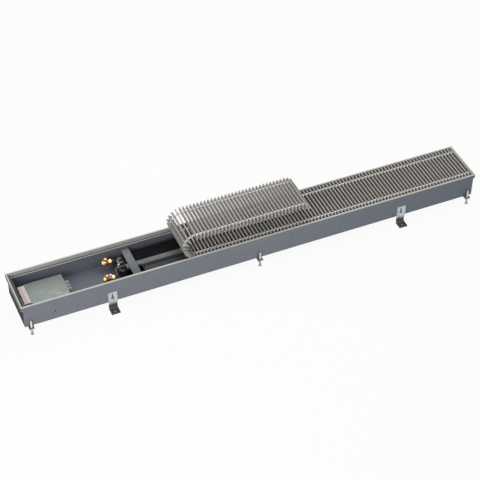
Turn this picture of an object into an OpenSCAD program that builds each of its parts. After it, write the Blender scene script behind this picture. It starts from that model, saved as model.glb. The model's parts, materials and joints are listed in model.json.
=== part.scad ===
// Trench convector heater with a fan, laid open for service.
// The steel trench stands on adjusting screws and floor brackets. Its roll-up grille of
// aluminium bars is folded back from the connection end over the part that stays laid.
// X runs along the trench with the connections at -X, the side without pipes is -Y,
// Z is up. The origin is on the floor under the middle of the trench.

/* [Trench] */
// Length over the frame
trench_l = 2100; // [1800:10:2600]
// Width over the frame
trench_w = 215; // [205:1:260]
// Height from the underside to the rim
trench_h = 112; // [108:1:140]
// Height of the underside above the floor
ground_gap = 40; // [32:1:60]
// Thickness of the trench sheets
sheet_t = 1.5; // [1:0.1:2]
// Diameter of the holes for pipes in the connection end
pipe_hole_d = 24; // [18:1:26]
// Diameter of the hole and the knock-outs for cables in the connection end
cable_hole_d = 20; // [12:1:24]

/* [Frame] */
// How far the frame stands out past the end plates
end_inset = 8; // [4:1:12]
// Width of the rim on top
lip_w = 6; // [4:0.5:9]
// Thickness of the rim
lip_t = 3; // [2:0.5:4]
// Thickness of the inner leg of the frame
frame_leg_t = 1.5; // [1:0.1:2]
// Width of the ledge that carries the grille
ledge_w = 10.5; // [9:0.5:16]
// Height of the ledge's wall leg
ledge_leg_h = 12; // [8:1:18]
// Thickness of the damping strip on the ledge
strip_t = 1.2; // [0.8:0.1:2]

/* [Grille] */
// Height of a bar
bar_h = 18; // [14:1:22]
// Thickness of a bar
bar_t = 5; // [3:0.5:7]
// Radius of a bar's top edges
bar_edge_r = 1.2; // [0.6:0.1:1.4]
// Distance from bar to bar along the laid grille
bar_pitch = 16.1; // [14:0.1:20]
// Play between the bars' ends and the frame
bar_end_play = 1.5; // [0.8:0.1:2.5]
// Bars in the laid part
laid_count = 83; // [40:1:95]
// Distance from a bar's end to its link
link_inset = 24; // [16:1:40]
// Diameter of the link wire
link_wire_d = 4; // [3:0.5:5]
// Diameter of the spacer sleeves on the wire
sleeve_d = 9; // [7:0.5:11]

/* [Fold] */
// Radius of the links where the grille turns over
fold_r = 51.3; // [46:0.1:60]
// Bars that stand in the turn
fold_count = 8; // [5:1:9]
// Bars in the flat run above the laid part
flap_count = 31; // [10:1:36]
// Bars that droop at the free end
droop_count = 2; // [1:1:3]
// Angle between drooping bars
droop_step = 22.5; // [10:0.5:25]

/* [Exchanger] */
// Distance of the exchanger's first end plate from the connection end
exchanger_start = 488; // [470:1:560]
// Distance of the exchanger's last end plate from the blind end
exchanger_end_gap = 112; // [80:1:160]
// Distance of the exchanger's middle line from the trench's middle line
exchanger_y = 45.5; // [40:0.5:50]
// Width of a fin
fin_w = 76; // [70:1:80]
// Height of a fin
fin_h = 50; // [44:1:54]
// Thickness of a fin
fin_t = 0.6; // [0.4:0.1:1]
// Distance from fin to fin
fin_pitch = 13; // [9:0.5:20]
// Height of the fins' lower edge above the trench floor
fin_lift = 10; // [6:0.5:12]
// Outside diameter of the copper tubes
tube_d = 12; // [10:0.5:15]
// Wall of the copper tubes
tube_wall = 0.8; // [0.6:0.1:1]
// Distance between tube columns
tube_pitch_y = 24; // [20:0.5:25]
// Distance between tube rows
tube_pitch_z = 25; // [20:0.5:28]

/* [Fan] */
// Distance of the fan's shaft from the trench's middle line
fan_y = -49.5; // [-52:0.5:-46]
// Diameter of the fan wheels
wheel_d = 54; // [46:1:56]
// Blades on a fan wheel
blade_count = 20; // [14:1:28]
// Thickness of a blade
blade_t = 0.8; // [0.6:0.1:1.2]
// Length of a fan wheel
wheel_l = 610; // [300:5:620]
// Distance of the first wheel from the connection end
wheel_start = 566; // [560:1:600]
// Diameter of the fan's shaft
shaft_d = 6; // [5:0.5:8]
// Diameter of the fan's motor
motor_d = 50; // [40:1:52]
// Length of the fan's motor
motor_l = 70; // [50:1:90]
// Clearance round the fan wheels in their housing
housing_gap = 3; // [2:0.5:4]
// Thickness of the fan housing's sheet
housing_t = 1; // [0.8:0.1:1.5]
// Distance between slots in the fan's guard
guard_pitch = 9; // [7:0.5:14]

/* [Braces and rail] */
// Width of a cross brace
brace_w = 34; // [24:1:38]
// Depth of the cross braces below the rim
brace_drop = 42; // [40:1:46]
// Distance of the first brace's middle from the connection end
brace_start = 516; // [510:1:580]
// Width of the rail between fan and exchanger
rail_w = 24; // [18:1:28]

/* [Control box] */
// Distance of the box from the connection end
box_start = 66; // [62:1:90]
// Length of the box
box_l = 160; // [120:1:170]
// Width of the box
box_w = 122; // [100:1:130]
// Height of the box with its cover
box_h = 50; // [40:1:58]
// Distance of the box's middle line from the trench's middle line
box_y = 17; // [10:0.5:20]
// Length of the terminal block's footprint along the trench
terminal_l = 28; // [20:1:30]
// Width of the terminal block across the trench
terminal_w = 106; // [80:1:120]
// Terminals in the block
terminal_count = 10; // [6:1:12]

/* [Valves] */
// Distance of the supply valve's axis from the connection end
supply_valve_x = 420; // [400:1:425]
// Distance of the return valve's axis from the connection end
return_valve_x = 398; // [380:1:402]
// Diameter of the valve bodies
valve_d = 26; // [20:1:28]
// Diameter of the pipe sockets in the valves
socket_d = 15; // [12:1:16]

/* [Feet] */
// Distance of the first brackets from the connection end
bracket_start = 386; // [300:1:480]
// Distance of the last brackets from the blind end
bracket_end_gap = 368; // [300:1:480]
// Width of a floor bracket
bracket_w = 38; // [30:1:50]
// Height of a floor bracket
bracket_h = 94; // [80:1:110]
// Length of a floor bracket's foot
bracket_foot = 38; // [30:1:50]
// Thickness of a floor bracket
bracket_t = 2.5; // [2:0.1:3]
// Diameter of the anchor holes in the brackets' feet
anchor_d = 8; // [6:0.5:10]
// Distance of the outer adjusting screws from the trench's ends
screw_inset = 33; // [25:1:60]
// Diameter of the adjusting screws
screw_d = 8; // [6:1:10]
// Length of the adjusting screws above the floor
screw_l = 76; // [66:1:90]

/* [Hidden] */
$fn = 32;

// Overrun of every cut past the faces it opens
cut = 1;
// Gap between pieces that rest on each other but belong to different bodies
rest_gap = 0.3;
// Radial play of a piece that turns on another
turn_play = 0.05;
// Radial play of a piece that is pushed over another and stays there
slip_play = 0.2;

// Levels and half widths of the trench
rim_z = ground_gap + trench_h;
floor_z = ground_gap + sheet_t;
wall_top_z = rim_z - lip_t;
wall_h = wall_top_z - ground_gap;
body_l = trench_l - 2 * end_inset;
inner_l = body_l - 2 * sheet_t;
inner_w = trench_w - 2 * sheet_t;
wall_y = inner_w / 2;
front_y = -trench_w / 2;

// Grille seat
bar_bottom_z = rim_z - bar_h;
strip_top_z = bar_bottom_z - rest_gap;
ledge_top_z = strip_top_z - strip_t;
ledge_under_z = ledge_top_z - sheet_t;
ledge_y = wall_y - ledge_w;
end_h = ledge_under_z - ground_gap;
opening_y = trench_w / 2 - lip_w;
bar_l = 2 * (opening_y - bar_end_play);
strip_w = ledge_w - lip_w;
strip_l = trench_l - 2 * (sheet_t + ledge_w);
link_y = bar_l / 2 - link_inset;
link_z = rim_z - bar_h / 2;
bore_d = link_wire_d + 2 * slip_play;

// Places along the grille
last_bar_x = trench_l / 2 - lip_w - bar_end_play - bar_t / 2;
turn_x = last_bar_x - (laid_count - 1) * bar_pitch;
turn_z = link_z + fold_r;
fold_step = 180 / (fold_count + 1);
flap_z = turn_z + fold_r;
flap_end_x = turn_x + (flap_count - 1) * bar_pitch;
droop_r = bar_pitch / 2 / sin(droop_step / 2);

// Spacer sleeves between the bars
sleeve_gap = 0.3;
sleeve_chamfer = 1.5;
sleeve_end_r = sleeve_d / 2 - sleeve_chamfer;
fold_stub_play = 0.47;
droop_stub_play = 0.3;
fold_stub_l = (fold_r - sleeve_end_r) * tan(fold_step / 2) - bar_t / 2 - fold_stub_play;
droop_stub_l = (droop_r - sleeve_end_r) * tan(droop_step / 2) - bar_t / 2 - droop_stub_play;

// Braces, rail and guard
brace_under_z = rim_z - brace_drop - sheet_t;
brace_tab_h = 12;
brace_second_share = 0.58;
brace_third_share = 0.93;
housing_r = wheel_d / 2 + housing_gap;
fan_z = floor_z + housing_r + housing_t;
housing_top_z = fan_z + housing_r + housing_t;
guard_t = 1.2;
guard_w = 24.5;
guard_lap = 4;
guard_rib = 3;
guard_margin = 3;
rail_top_z = housing_top_z + guard_t + sheet_t / 2;
rail_under_z = rail_top_z - sheet_t;
rail_lip_h = 12;
rail_near_y = guard_near_y() + guard_w + rest_gap;
guard_plate_y = fan_y + wheel_d / 3;
function guard_near_y() = fan_y + wheel_d / 3 - guard_lap;

// Exchanger
plate_t = sheet_t;
first_plate_x = from_left(exchanger_start);
last_plate_x = trench_l / 2 - exchanger_end_gap;
fin_bottom_z = floor_z + fin_lift;
fin_mid_z = fin_bottom_z + fin_h / 2;
fin_margin = 6;
fins_l = last_plate_x - first_plate_x - plate_t - 2 * fin_margin;
fin_steps = floor((fins_l - fin_t) / fin_pitch);
collar_t = 0.5;
collar_play = 0.05;
tube_stub = 6;
tube_end_x = first_plate_x - tube_stub;
tube_last_x = last_plate_x + plate_t + tube_stub;
plate_foot = 12;
column_shares = [-1, 0, 1];
row_shares = [-0.5, 0.5];
function column_y(i) = exchanger_y + column_shares[i] * tube_pitch_y;
function row_z(j) = fin_mid_z + row_shares[j] * tube_pitch_z;

// Pipes from the exchanger to the valves
supply_bend_r = 12;
return_bend_r = 12;
supply_lead = 10;
return_lead = 25;
supply_tail = 6;
return_tail = 6;
supply_y = column_y(2);
supply_z = row_z(1);
return_drop = 13;
return_shift = 34;
return_y = column_y(0) - return_shift;
return_z = row_z(1) - return_drop;
supply_arm_x = tube_end_x - supply_lead - 2 * supply_bend_r - supply_tail;
return_arm_x = tube_end_x - return_lead - 2 * return_bend_r - return_tail;

// Valves
thread_d = 18;
arm_d = 16;
arm_l = 17;
thread_l = 9;
socket_l = 12;
supply_up = 13;
return_up = 12;
valve_down = 15;
collar_h = 3;
collar_flats = 18;
spindle_d = 8;
supply_stem = 8;
return_stem = 6;
cap_d = 17;
cap_wall = 2;
cap_flutes = 12;
flute_d = 3;
nut_flats = 24;
nut_grip = 5;
lock_cap_d = 15;
vent_d = 8;
vent_h = 12;
vent_sink = 1;
vent_hex_h = 4;
vent_bore_d = 4;
vent_screw_head_h = 2.5;
vent_slot_w = 0.8;

// Fan
housing_end = 12;
motor_gap = 18;
wheel_discs = 6;
disc_t = 1.2;
blade_depth = 9;
blade_inset = 0.5;
blade_r = 8;
hub_d = 14;
hub_l = 10;
wheel_1_x = from_left(wheel_start);
wheel_2_x = wheel_1_x + wheel_l + motor_l + 2 * motor_gap;
housing_plate_t = 1.5;
bearing_d = 18;
bearing_l = 10;
housing_arc = 200;
motor_foot_w = 30;
motor_rib_count = 12;
motor_rib_d = 3;

// Control box
box_t = 1.2;
cover_skirt = 8;
cover_gap = 0.3;
box_x = from_left(box_start);
post_d = 8;
post_bore_d = 3.2;
post_inset = 9;
board_t = 1.6;
board_margin = 14;
board_lift = 10;
relay_size = [18, 16, 15];
transformer_size = [38, 32, 26];
capacitor_d = 12;
capacitor_h = 20;
gland_count = 3;
gland_pitch = 20;
gland_first_y = 0;
gland_d = 16;
gland_l = 14;
gland_bore_d = 7;
gland_nut_flats = 18;
gland_nut_l = 8;
gland_lift = 30;
terminal_gap = 2;
terminal_h = 51;
terminal_wall = 2;
terminal_wire_d = 5;
terminal_screw_d = 6;
terminal_depth = 8;
terminal_notch = 10;

// Rivets, holes and knock-outs
rivet_d = 5;
rivet_h = 1.2;
rivet_pitch = 18;
rivet_drop = 27;
knockout_slit = 0.8;
knockout_bridge = 3;
pipe_hole_shares = [-0.265, -0.405];
cable_hole_share = -0.05;
knockout_shares = [0.12, 0.29];
pipe_hole_z = ground_gap + trench_h * 3 / 8;
cable_hole_z = ground_gap + trench_h / 3;
seam_start = 236;
seam_w = 1.6;
seam_h = 28;
plug_hole_d = 5;
plug_hole_start = 189;
plug_hole_drop = 73;
earth_hole_d = 6;
earth_hole_start = 141;
earth_hole_drop = 70;

// Feet
foot_pad_t = 3;
anchor_off = bracket_foot * 3 / 5;
bracket_flange = 8;
bracket_bend_r = 10;
bracket_lip = 6;
slot_w = 7;
slot_h = 34;
slot_lift = 56;
bolt_d = 6;
bolt_head_flats = 10;
bolt_head_h = 4;
washer_d = 14;
washer_t = 1.2;
lug_w = 20;
lug_reach = 17;
lug_root = 12;
lug_t = 3;
lug_h = 10;
lug_flange_t = 2;
screw_off = 9;
pad_d = 14;
pad_neck_d = 10;
pad_h = 8;
pad_rim_h = 2;
lock_nut_flats = 13;
lock_nut_h = 6;
bracket_first_x = from_left(bracket_start);
bracket_last_x = trench_l / 2 - bracket_end_gap;
bolt_z = slot_lift + slot_h / 6;

// Colours
steel_paint = "slategray";
aluminium = "silver";
zinc = "lightsteelblue";
brass = "peru";
copper = "sienna";
black_sheet = [0.12, 0.12, 0.13];

// A place at a distance from the trench's connection end
function from_left(d) = d - trench_l / 2;
// Cross-corner diameter of a hexagon with this width over flats
function hex_d(flats) = flats / cos(30);

// A box that starts at x, y and z
module box(x, y, z, l, w, h) { translate([x, y, z]) cube([l, w, h]); }
// A cylinder along X that starts at x
module rod_x(x, y, z, l, d) { translate([x, y, z]) rotate([0, 90, 0]) cylinder(h = l, d = d); }
// A cylinder along Y that starts at y
module rod_y(x, y, z, l, d) { translate([x, y, z]) rotate([-90, 0, 0]) cylinder(h = l, d = d); }
// A cylinder along Z that starts at z
module rod_z(x, y, z, h, d) { translate([x, y, z]) cylinder(h = h, d = d); }
// The shape drawn on both long sides
module both_sides() { children(); mirror([0, 1, 0]) children(); }
// The shape drawn on both ends
module both_ends() { children(); mirror([1, 0, 0]) children(); }

// Flat bottom sheet between the walls and the end plates
module floor_pan() {
    color(steel_paint) box(-inner_l / 2, -wall_y, ground_gap, inner_l, inner_w, sheet_t);
}

// Long wall sheet, with the holes for the brackets' bolts
module long_wall() {
    difference() {
        box(-body_l / 2, front_y, ground_gap, body_l, sheet_t, wall_h);
        for (x = [bracket_first_x, bracket_last_x])
            rod_y(x, front_y - cut, bolt_z, sheet_t + 2 * cut, bolt_d + 2 * slip_play);
    }
}

// Wall on the side without pipes, with a hole for an earth wire, one for a plug and a slot
module front_wall() {
    color(steel_paint) difference() {
        long_wall();
        rod_y(from_left(earth_hole_start), front_y - cut, rim_z - earth_hole_drop,
            sheet_t + 2 * cut, earth_hole_d);
        rod_y(from_left(plug_hole_start), front_y - cut, rim_z - plug_hole_drop,
            sheet_t + 2 * cut, plug_hole_d);
        box(from_left(seam_start) - seam_w / 2, front_y - cut, rim_z - plug_hole_drop - seam_h / 2,
            seam_w, sheet_t + 2 * cut, seam_h);
    }
}

// Wall on the side of the exchanger
module rear_wall() { color(steel_paint) mirror([0, 1, 0]) long_wall(); }

// Circular slit that leaves a disc held by two bridges
module knockout(y, z, d) {
    translate([0, y, z]) rotate([0, 90, 0]) difference() {
        cylinder(h = sheet_t + 2 * cut, d = d);
        translate([0, 0, -cut]) cylinder(h = sheet_t + 4 * cut, d = d - 2 * knockout_slit);
        translate([-knockout_bridge / 2, -d, -cut]) cube([knockout_bridge, 2 * d, sheet_t + 4 * cut]);
    }
}

// End sheet at the connections, with holes for pipes and a cable, and knock-outs for more cables
module left_end_plate() {
    color(steel_paint) difference() {
        box(-body_l / 2, -wall_y, ground_gap, sheet_t, inner_w, end_h);
        for (share = pipe_hole_shares)
            rod_x(-body_l / 2 - cut, share * trench_w, pipe_hole_z, sheet_t + 2 * cut, pipe_hole_d);
        rod_x(-body_l / 2 - cut, cable_hole_share * trench_w, cable_hole_z, sheet_t + 2 * cut,
            cable_hole_d);
        for (share = knockout_shares) translate([-body_l / 2 - cut, 0, 0])
            knockout(share * trench_w, cable_hole_z, cable_hole_d);
    }
}

// Plain end sheet
module right_end_plate() {
    color(steel_paint) box(body_l / 2 - sheet_t, -wall_y, ground_gap, sheet_t, inner_w, end_h);
}

// The section drawn along X for a length, its outer edge on the Y line, its ends mitred
module mitred(l, outer) {
    difference() {
        translate([-l / 2, outer, 0]) rotate([90, 0, 90]) linear_extrude(l) children();
        for (side = [-1, 1]) translate([side * l / 2, outer, ledge_top_z - cut])
            rotate([0, 0, side * 45]) translate([side > 0 ? 0 : -2 * lip_w, -2 * lip_w, 0])
                cube([2 * lip_w, 4 * lip_w, rim_z - ledge_top_z + 2 * cut]);
    }
}
// Long profiles of the frame, which cap the walls
module frame_sides() {
    color(aluminium) both_sides() mitred(trench_l, front_y)
        polygon([[0, wall_top_z], [lip_w - frame_leg_t, wall_top_z],
            [lip_w - frame_leg_t, ledge_top_z], [lip_w, ledge_top_z], [lip_w, rim_z], [0, rim_z]]);
}
// Short profiles of the frame, which stand out past the end plates
module frame_ends() {
    color(aluminium) both_ends() rotate([0, 0, -90]) mitred(trench_w, -trench_l / 2)
        polygon([[0, ledge_top_z], [frame_leg_t, ledge_top_z], [frame_leg_t, wall_top_z],
            [lip_w, wall_top_z], [lip_w, rim_z], [0, rim_z]]);
}
// Angle of sheet whose shelf carries the grille
module ledge_angle(l, outer) {
    translate([-l / 2, outer, 0]) rotate([90, 0, 90]) linear_extrude(l)
        polygon([[0, ledge_under_z - ledge_leg_h], [sheet_t, ledge_under_z - ledge_leg_h],
            [sheet_t, ledge_under_z], [ledge_w, ledge_under_z], [ledge_w, ledge_top_z],
            [0, ledge_top_z]]);
}

// Ledges round the inside of the trench
module grille_ledges() {
    color(steel_paint) {
        both_sides() ledge_angle(inner_l, -wall_y);
        both_ends() {
            rotate([0, 0, -90]) ledge_angle(2 * ledge_y, -inner_l / 2);
            box(-trench_l / 2, -wall_y, ledge_under_z, end_inset + sheet_t, inner_w, sheet_t);
        }
    }
}

// Soft strips that the bars' ends lie on
module damping_strips() {
    color("dimgray") both_sides()
        box(-strip_l / 2, -opening_y, ledge_top_z, strip_l, strip_w, strip_t);
}

// Rivets that hold the ledges and braces to the long walls
module wall_rivets() {
    color(zinc) both_sides() for (x = brace_places()) for (side = [-1, 1])
        translate([x + side * rivet_pitch / 2, front_y, rim_z - rivet_drop]) rotate([90, 0, 0])
            cylinder(h = rivet_h, d1 = rivet_d, d2 = rivet_d / 2);
}

function brace_places() = [
    from_left(brace_start), from_left(trench_l * brace_second_share),
    from_left(trench_l * brace_third_share)];

// Sheet channels that tie the long walls together
module cross_braces() {
    color("gray") for (x = brace_places()) {
        box(x - brace_w / 2, -wall_y, brace_under_z, brace_w, inner_w, sheet_t);
        both_sides() box(x - brace_w / 2, -wall_y, brace_under_z - brace_tab_h, brace_w, sheet_t,
            brace_tab_h);
        for (side = [-1, 1])
            box(x + side * (brace_w - sheet_t) / 2 - sheet_t / 2, rail_near_y, rail_top_z,
                sheet_t, rail_w, brace_under_z - rail_top_z);
    }
}

// Folded cover strip between the fan and the exchanger
module centre_rail() {
    rail_l = last_plate_x + plate_t - first_plate_x;
    color("gray") {
        box(first_plate_x, rail_near_y, rail_under_z, rail_l, rail_w, sheet_t);
        box(first_plate_x, rail_near_y, rail_under_z - rail_lip_h, rail_l, sheet_t, rail_lip_h);
    }
}

// The shape at every tube of the exchanger
module each_tube() {
    for (i = [0, 1, 2]) for (j = [0, 1]) translate([0, column_y(i), row_z(j)]) children();
}

// Aluminium fins with the collars that space them along the tubes
module exchanger_fins() {
    start = first_plate_x + plate_t + fin_margin;
    color(black_sheet) difference() {
        union() {
            for (i = [0 : fin_steps])
                box(start + i * fin_pitch, exchanger_y - fin_w / 2, fin_bottom_z, fin_t, fin_w, fin_h);
            each_tube() rod_x(start, 0, 0, fin_steps * fin_pitch + fin_t,
                tube_d + 2 * (collar_t + collar_play));
        }
        each_tube() rod_x(start - cut, 0, 0, fin_steps * fin_pitch + fin_t + 2 * cut,
            tube_d + 2 * collar_play);
    }
}

// Straight copper tubes
module exchanger_tubes() {
    color(copper) each_tube() difference() {
        rod_x(tube_end_x, 0, 0, tube_last_x - tube_end_x, tube_d);
        rod_x(tube_end_x - cut, 0, 0, tube_last_x - tube_end_x + 2 * cut, tube_d - 2 * tube_wall);
    }
}

// Plates that carry the tubes' ends and stand on the trench floor
module exchanger_end_plates() {
    color("dimgray") for (p = [[first_plate_x, -1], [last_plate_x, 1]]) difference() {
        union() {
            box(p[0], exchanger_y - fin_w / 2, floor_z, plate_t, fin_w, rail_under_z - floor_z);
            box(p[1] < 0 ? p[0] - plate_foot : p[0] + plate_t, exchanger_y - fin_w / 2, floor_z,
                plate_foot, fin_w, sheet_t);
        }
        each_tube() rod_x(p[0] - cut, 0, 0, plate_t + 2 * cut, tube_d + 2 * slip_play);
    }
}

// Half ring of tube in the XY plane that opens to +X, its legs a pitch apart
module return_bend(pitch) {
    rotate([0, 0, 90]) rotate_extrude(angle = 180) translate([pitch / 2, 0]) difference() {
        circle(d = tube_d);
        circle(d = tube_d - 2 * tube_wall);
    }
}

// Bends that join the tubes, two at the connection end and three at the blind end
module return_bends() {
    color(black_sheet) {
        translate([tube_end_x, (column_y(1) + column_y(2)) / 2, row_z(1)]) return_bend(tube_pitch_y);
        translate([tube_end_x, (column_y(0) + column_y(1)) / 2, row_z(0)]) return_bend(tube_pitch_y);
        for (i = [0, 1, 2]) translate([tube_last_x, column_y(i), fin_mid_z])
            mirror([1, 0, 0]) rotate([90, 0, 0]) return_bend(tube_pitch_z);
    }
}

// Tube that runs to -X and steps sideways by an offset with two quarter bends
module step_pipe(lead, tail, offset, bend_r, angle) {
    rotate([angle, 0, 0]) {
        pipe_x(-lead, 0, lead);
        translate([-lead, bend_r, 0]) rotate([0, 0, 180]) quarter_pipe(bend_r);
        translate([-lead - bend_r, bend_r, 0]) rotate([0, 0, 90]) pipe_x(0, 0, offset - 2 * bend_r);
        translate([-lead - 2 * bend_r, offset - bend_r, 0]) quarter_pipe(bend_r);
        pipe_x(-lead - 2 * bend_r - tail, offset, tail);
    }
}

// Straight tube along X
module pipe_x(x, y, l) {
    difference() {
        rod_x(x, y, 0, l, tube_d);
        rod_x(x - cut, y, 0, l + 2 * cut, tube_d - 2 * tube_wall);
    }
}

// Quarter ring of tube in the XY plane
module quarter_pipe(bend_r) {
    rotate_extrude(angle = 90) translate([bend_r, 0]) difference() {
        circle(d = tube_d);
        circle(d = tube_d - 2 * tube_wall);
    }
}

// Pipe from the lower far tube up to the supply valve
module supply_pipe() {
    color(copper) translate([tube_end_x, column_y(2), row_z(0)])
        step_pipe(supply_lead, supply_tail, tube_pitch_z, supply_bend_r, 90);
}

// Pipe from the upper near tube across to the return valve
module return_pipe() {
    reach = norm([return_shift, return_drop]);
    color(copper) translate([tube_end_x, column_y(0), row_z(1)])
        step_pipe(return_lead, return_tail, reach, return_bend_r, 180 + atan2(return_drop, return_shift));
}

// Round valve body with a socket for the building's pipe and a threaded arm for the union
module valve_body(x, y, z, arm_x, up, stem_l) {
    difference() {
        union() {
            translate([x, y, z]) sphere(d = valve_d + cap_wall);
            rod_z(x, y, z - valve_down, up + valve_down, valve_d - cap_wall);
            translate([x, y, z + up]) cylinder(h = collar_h, d = hex_d(collar_flats), $fn = 6);
            rod_z(x, y, z + up + collar_h, stem_l, spindle_d);
            rod_x(x, y, z, arm_x - thread_l - x, arm_d);
            rod_x(arm_x - thread_l, y, z, thread_l, thread_d);
            rod_x(x - arm_l, y, z, arm_l, socket_d + 2 * cap_wall);
            translate([x - arm_l, y, z]) rotate([0, 90, 0])
                cylinder(h = socket_l * 2 / 3, d = hex_d(nut_flats), $fn = 6);
        }
        rod_x(x - arm_l - cut, y, z, socket_l + cut, socket_d);
        rod_x(x - arm_l, y, z, arm_x + arm_l - x + cut, tube_d - 2 * tube_wall);
    }
}

// Brass valve on the supply side
module supply_valve() {
    color(brass) valve_body(from_left(supply_valve_x), supply_y, supply_z, supply_arm_x,
        supply_up, supply_stem);
}

// Brass lockshield valve on the return side
module return_valve() {
    color(brass) valve_body(from_left(return_valve_x), return_y, return_z, return_arm_x,
        return_up, return_stem);
}

// Hexagon nut that draws a pipe against a valve's arm
module union_nut(x, y, z) {
    translate([x - thread_l, y, z]) rotate([0, 90, 0]) difference() {
        cylinder(h = thread_l + nut_grip, d = hex_d(nut_flats), $fn = 6);
        translate([0, 0, -cut]) cylinder(h = thread_l + cut, d = thread_d + 2 * slip_play);
        cylinder(h = thread_l + nut_grip + cut, d = tube_d + 2 * slip_play);
    }
}

// Union nuts of both valves
module union_nuts() {
    color(brass) {
        union_nut(supply_arm_x, supply_y, supply_z);
        union_nut(return_arm_x, return_y, return_z);
    }
}

// Cap that turns on a valve's spindle, with grip flutes round it
module valve_cap(x, y, z, d, h) {
    translate([x, y, z]) difference() {
        union() {
            cylinder(h = h - cap_wall, d = d);
            translate([0, 0, h - cap_wall]) cylinder(h = cap_wall, d1 = d, d2 = d - 2 * cap_wall);
        }
        for (k = [1 : cap_flutes]) rotate([0, 0, k * 360 / cap_flutes])
            translate([d / 2 + flute_d / 4, 0, -cut]) cylinder(h = h + 2 * cut, d = flute_d);
        translate([0, 0, -cut]) cylinder(h = h - cap_wall + cut, d = spindle_d + 2 * turn_play);
    }
}

// Cap of the supply valve
module supply_valve_cap() {
    color(brass) valve_cap(from_left(supply_valve_x), supply_y,
        supply_z + supply_up + collar_h + rest_gap, cap_d, supply_stem + cap_wall);
}

// Cap of the return valve
module return_valve_cap() {
    color(brass) valve_cap(from_left(return_valve_x), return_y,
        return_z + return_up + collar_h + rest_gap, lock_cap_d, return_stem + cap_wall);
}

// Nipple on top of a pipe, with a hexagon and a blind bore
module vent_seat(x, y, z, with_bore) {
    translate([x, y, z]) difference() {
        union() {
            cylinder(h = vent_h, d = vent_d);
            translate([0, 0, vent_h - vent_hex_h]) cylinder(h = vent_hex_h, d = hex_d(vent_d + 2), $fn = 6);
        }
        if (with_bore) translate([0, 0, vent_h / 2]) cylinder(h = vent_h, d = vent_bore_d);
    }
}

// Vent nipple on the return pipe and drain nipple on the return valve's arm
module vent_seats() {
    color(aluminium) {
        vent_seat(vent_x(), column_y(0), vent_z(), true);
        vent_seat(from_left(return_valve_x) + arm_d, return_y, return_z + arm_d / 2, false);
    }
}

function vent_x() = tube_end_x - return_lead * 4 / 5;
function vent_z() = row_z(1) + tube_d / 2;

// Slotted screw that opens the vent
module vent_screw() {
    color(aluminium) translate([vent_x(), column_y(0), vent_z() + vent_h / 2 + rest_gap]) difference() {
        union() {
            cylinder(h = vent_h / 2, d = vent_bore_d - 2 * turn_play);
            translate([0, 0, vent_h / 2]) cylinder(h = vent_screw_head_h, d = vent_d - 2);
        }
        translate([-vent_d, -vent_slot_w / 2, vent_h / 2 + vent_screw_head_h / 2])
            cube([2 * vent_d, vent_slot_w, vent_screw_head_h]);
    }
}

// Scroll sheet round one fan wheel, with the end plates that carry the bearings
module housing_part(x) {
    l = wheel_l + 2 * housing_end;
    outer = housing_r + housing_t;
    translate([x - housing_end, 0, 0]) {
        difference() {
            rod_x(0, fan_y, fan_z, l, 2 * outer);
            rod_x(-cut, fan_y, fan_z, l + 2 * cut, 2 * housing_r);
            translate([-cut, fan_y, fan_z]) rotate([housing_arc - 180 - 90, 0, 0])
                cube([l + 2 * cut, 2 * outer, 2 * outer]);
            box(-cut, fan_y, fan_z, l + 2 * cut, 2 * outer, 2 * outer);
        }
        box(0, -wall_y + lip_w, housing_top_z - housing_t, l, guard_plate_y + wall_y - lip_w, housing_t);
        for (e = [0, l - housing_plate_t]) difference() {
            box(e, -wall_y + lip_w, floor_z, housing_plate_t, rail_near_y + wall_y - lip_w - rest_gap,
                housing_top_z - floor_z);
            rod_x(e - cut, fan_y, fan_z, housing_plate_t + 2 * cut, bearing_d);
        }
    }
}

// Housings of both fan wheels
module fan_housing() {
    color(black_sheet) {
        housing_part(wheel_1_x);
        housing_part(wheel_2_x);
    }
}

// Slotted strip over the fan's inlet
module fan_guard() {
    start = wheel_1_x - housing_end;
    l = wheel_2_x + wheel_l + housing_end - start;
    color("dimgray") difference() {
        box(start, guard_near_y(), housing_top_z, l, guard_w, guard_t);
        for (x = [start + guard_margin : guard_pitch : start + l - guard_pitch])
            box(x, guard_near_y() + guard_lap, housing_top_z - cut, guard_pitch - guard_rib,
                guard_w - guard_lap - guard_margin, guard_t + 2 * cut);
    }
}

// One curved blade, drawn at the wheel's edge
module blade() {
    intersection() {
        translate([wheel_d / 2 - blade_depth / 2, blade_r, 0]) difference() {
            cylinder(h = wheel_l, r = blade_r + blade_t / 2);
            translate([0, 0, -cut]) cylinder(h = wheel_l + 2 * cut, r = blade_r - blade_t / 2);
        }
        difference() {
            cylinder(h = wheel_l, r = wheel_d / 2 - blade_inset);
            translate([0, 0, -cut]) cylinder(h = wheel_l + 2 * cut, r = wheel_d / 2 - blade_depth);
            translate([-wheel_d, blade_r, -cut]) cube([2 * wheel_d, wheel_d, wheel_l + 2 * cut]);
        }
    }
}

// Cross-flow wheel with discs along it and a hub at each end
module fan_wheel(x) {
    translate([x, fan_y, fan_z]) rotate([0, 90, 0]) difference() {
        union() {
            for (k = [1 : blade_count]) rotate([0, 0, k * 360 / blade_count]) blade();
            for (k = [0 : wheel_discs - 1])
                translate([0, 0, k * (wheel_l - disc_t) / (wheel_discs - 1)]) cylinder(h = disc_t, d = wheel_d);
            cylinder(h = hub_l, d = hub_d);
            translate([0, 0, wheel_l - hub_l]) cylinder(h = hub_l, d = hub_d);
        }
        translate([0, 0, -cut]) cylinder(h = wheel_l + 2 * cut, d = shaft_d + 2 * turn_play);
    }
}

// Both fan wheels
module fan_wheels() {
    color("dimgray") {
        fan_wheel(wheel_1_x);
        fan_wheel(wheel_2_x);
    }
}

// Shaft through the motor and both wheels
module fan_shaft() {
    start = wheel_1_x - housing_end;
    color(aluminium)
        rod_x(start, fan_y, fan_z, wheel_2_x + wheel_l + housing_end - start, shaft_d);
}

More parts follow.
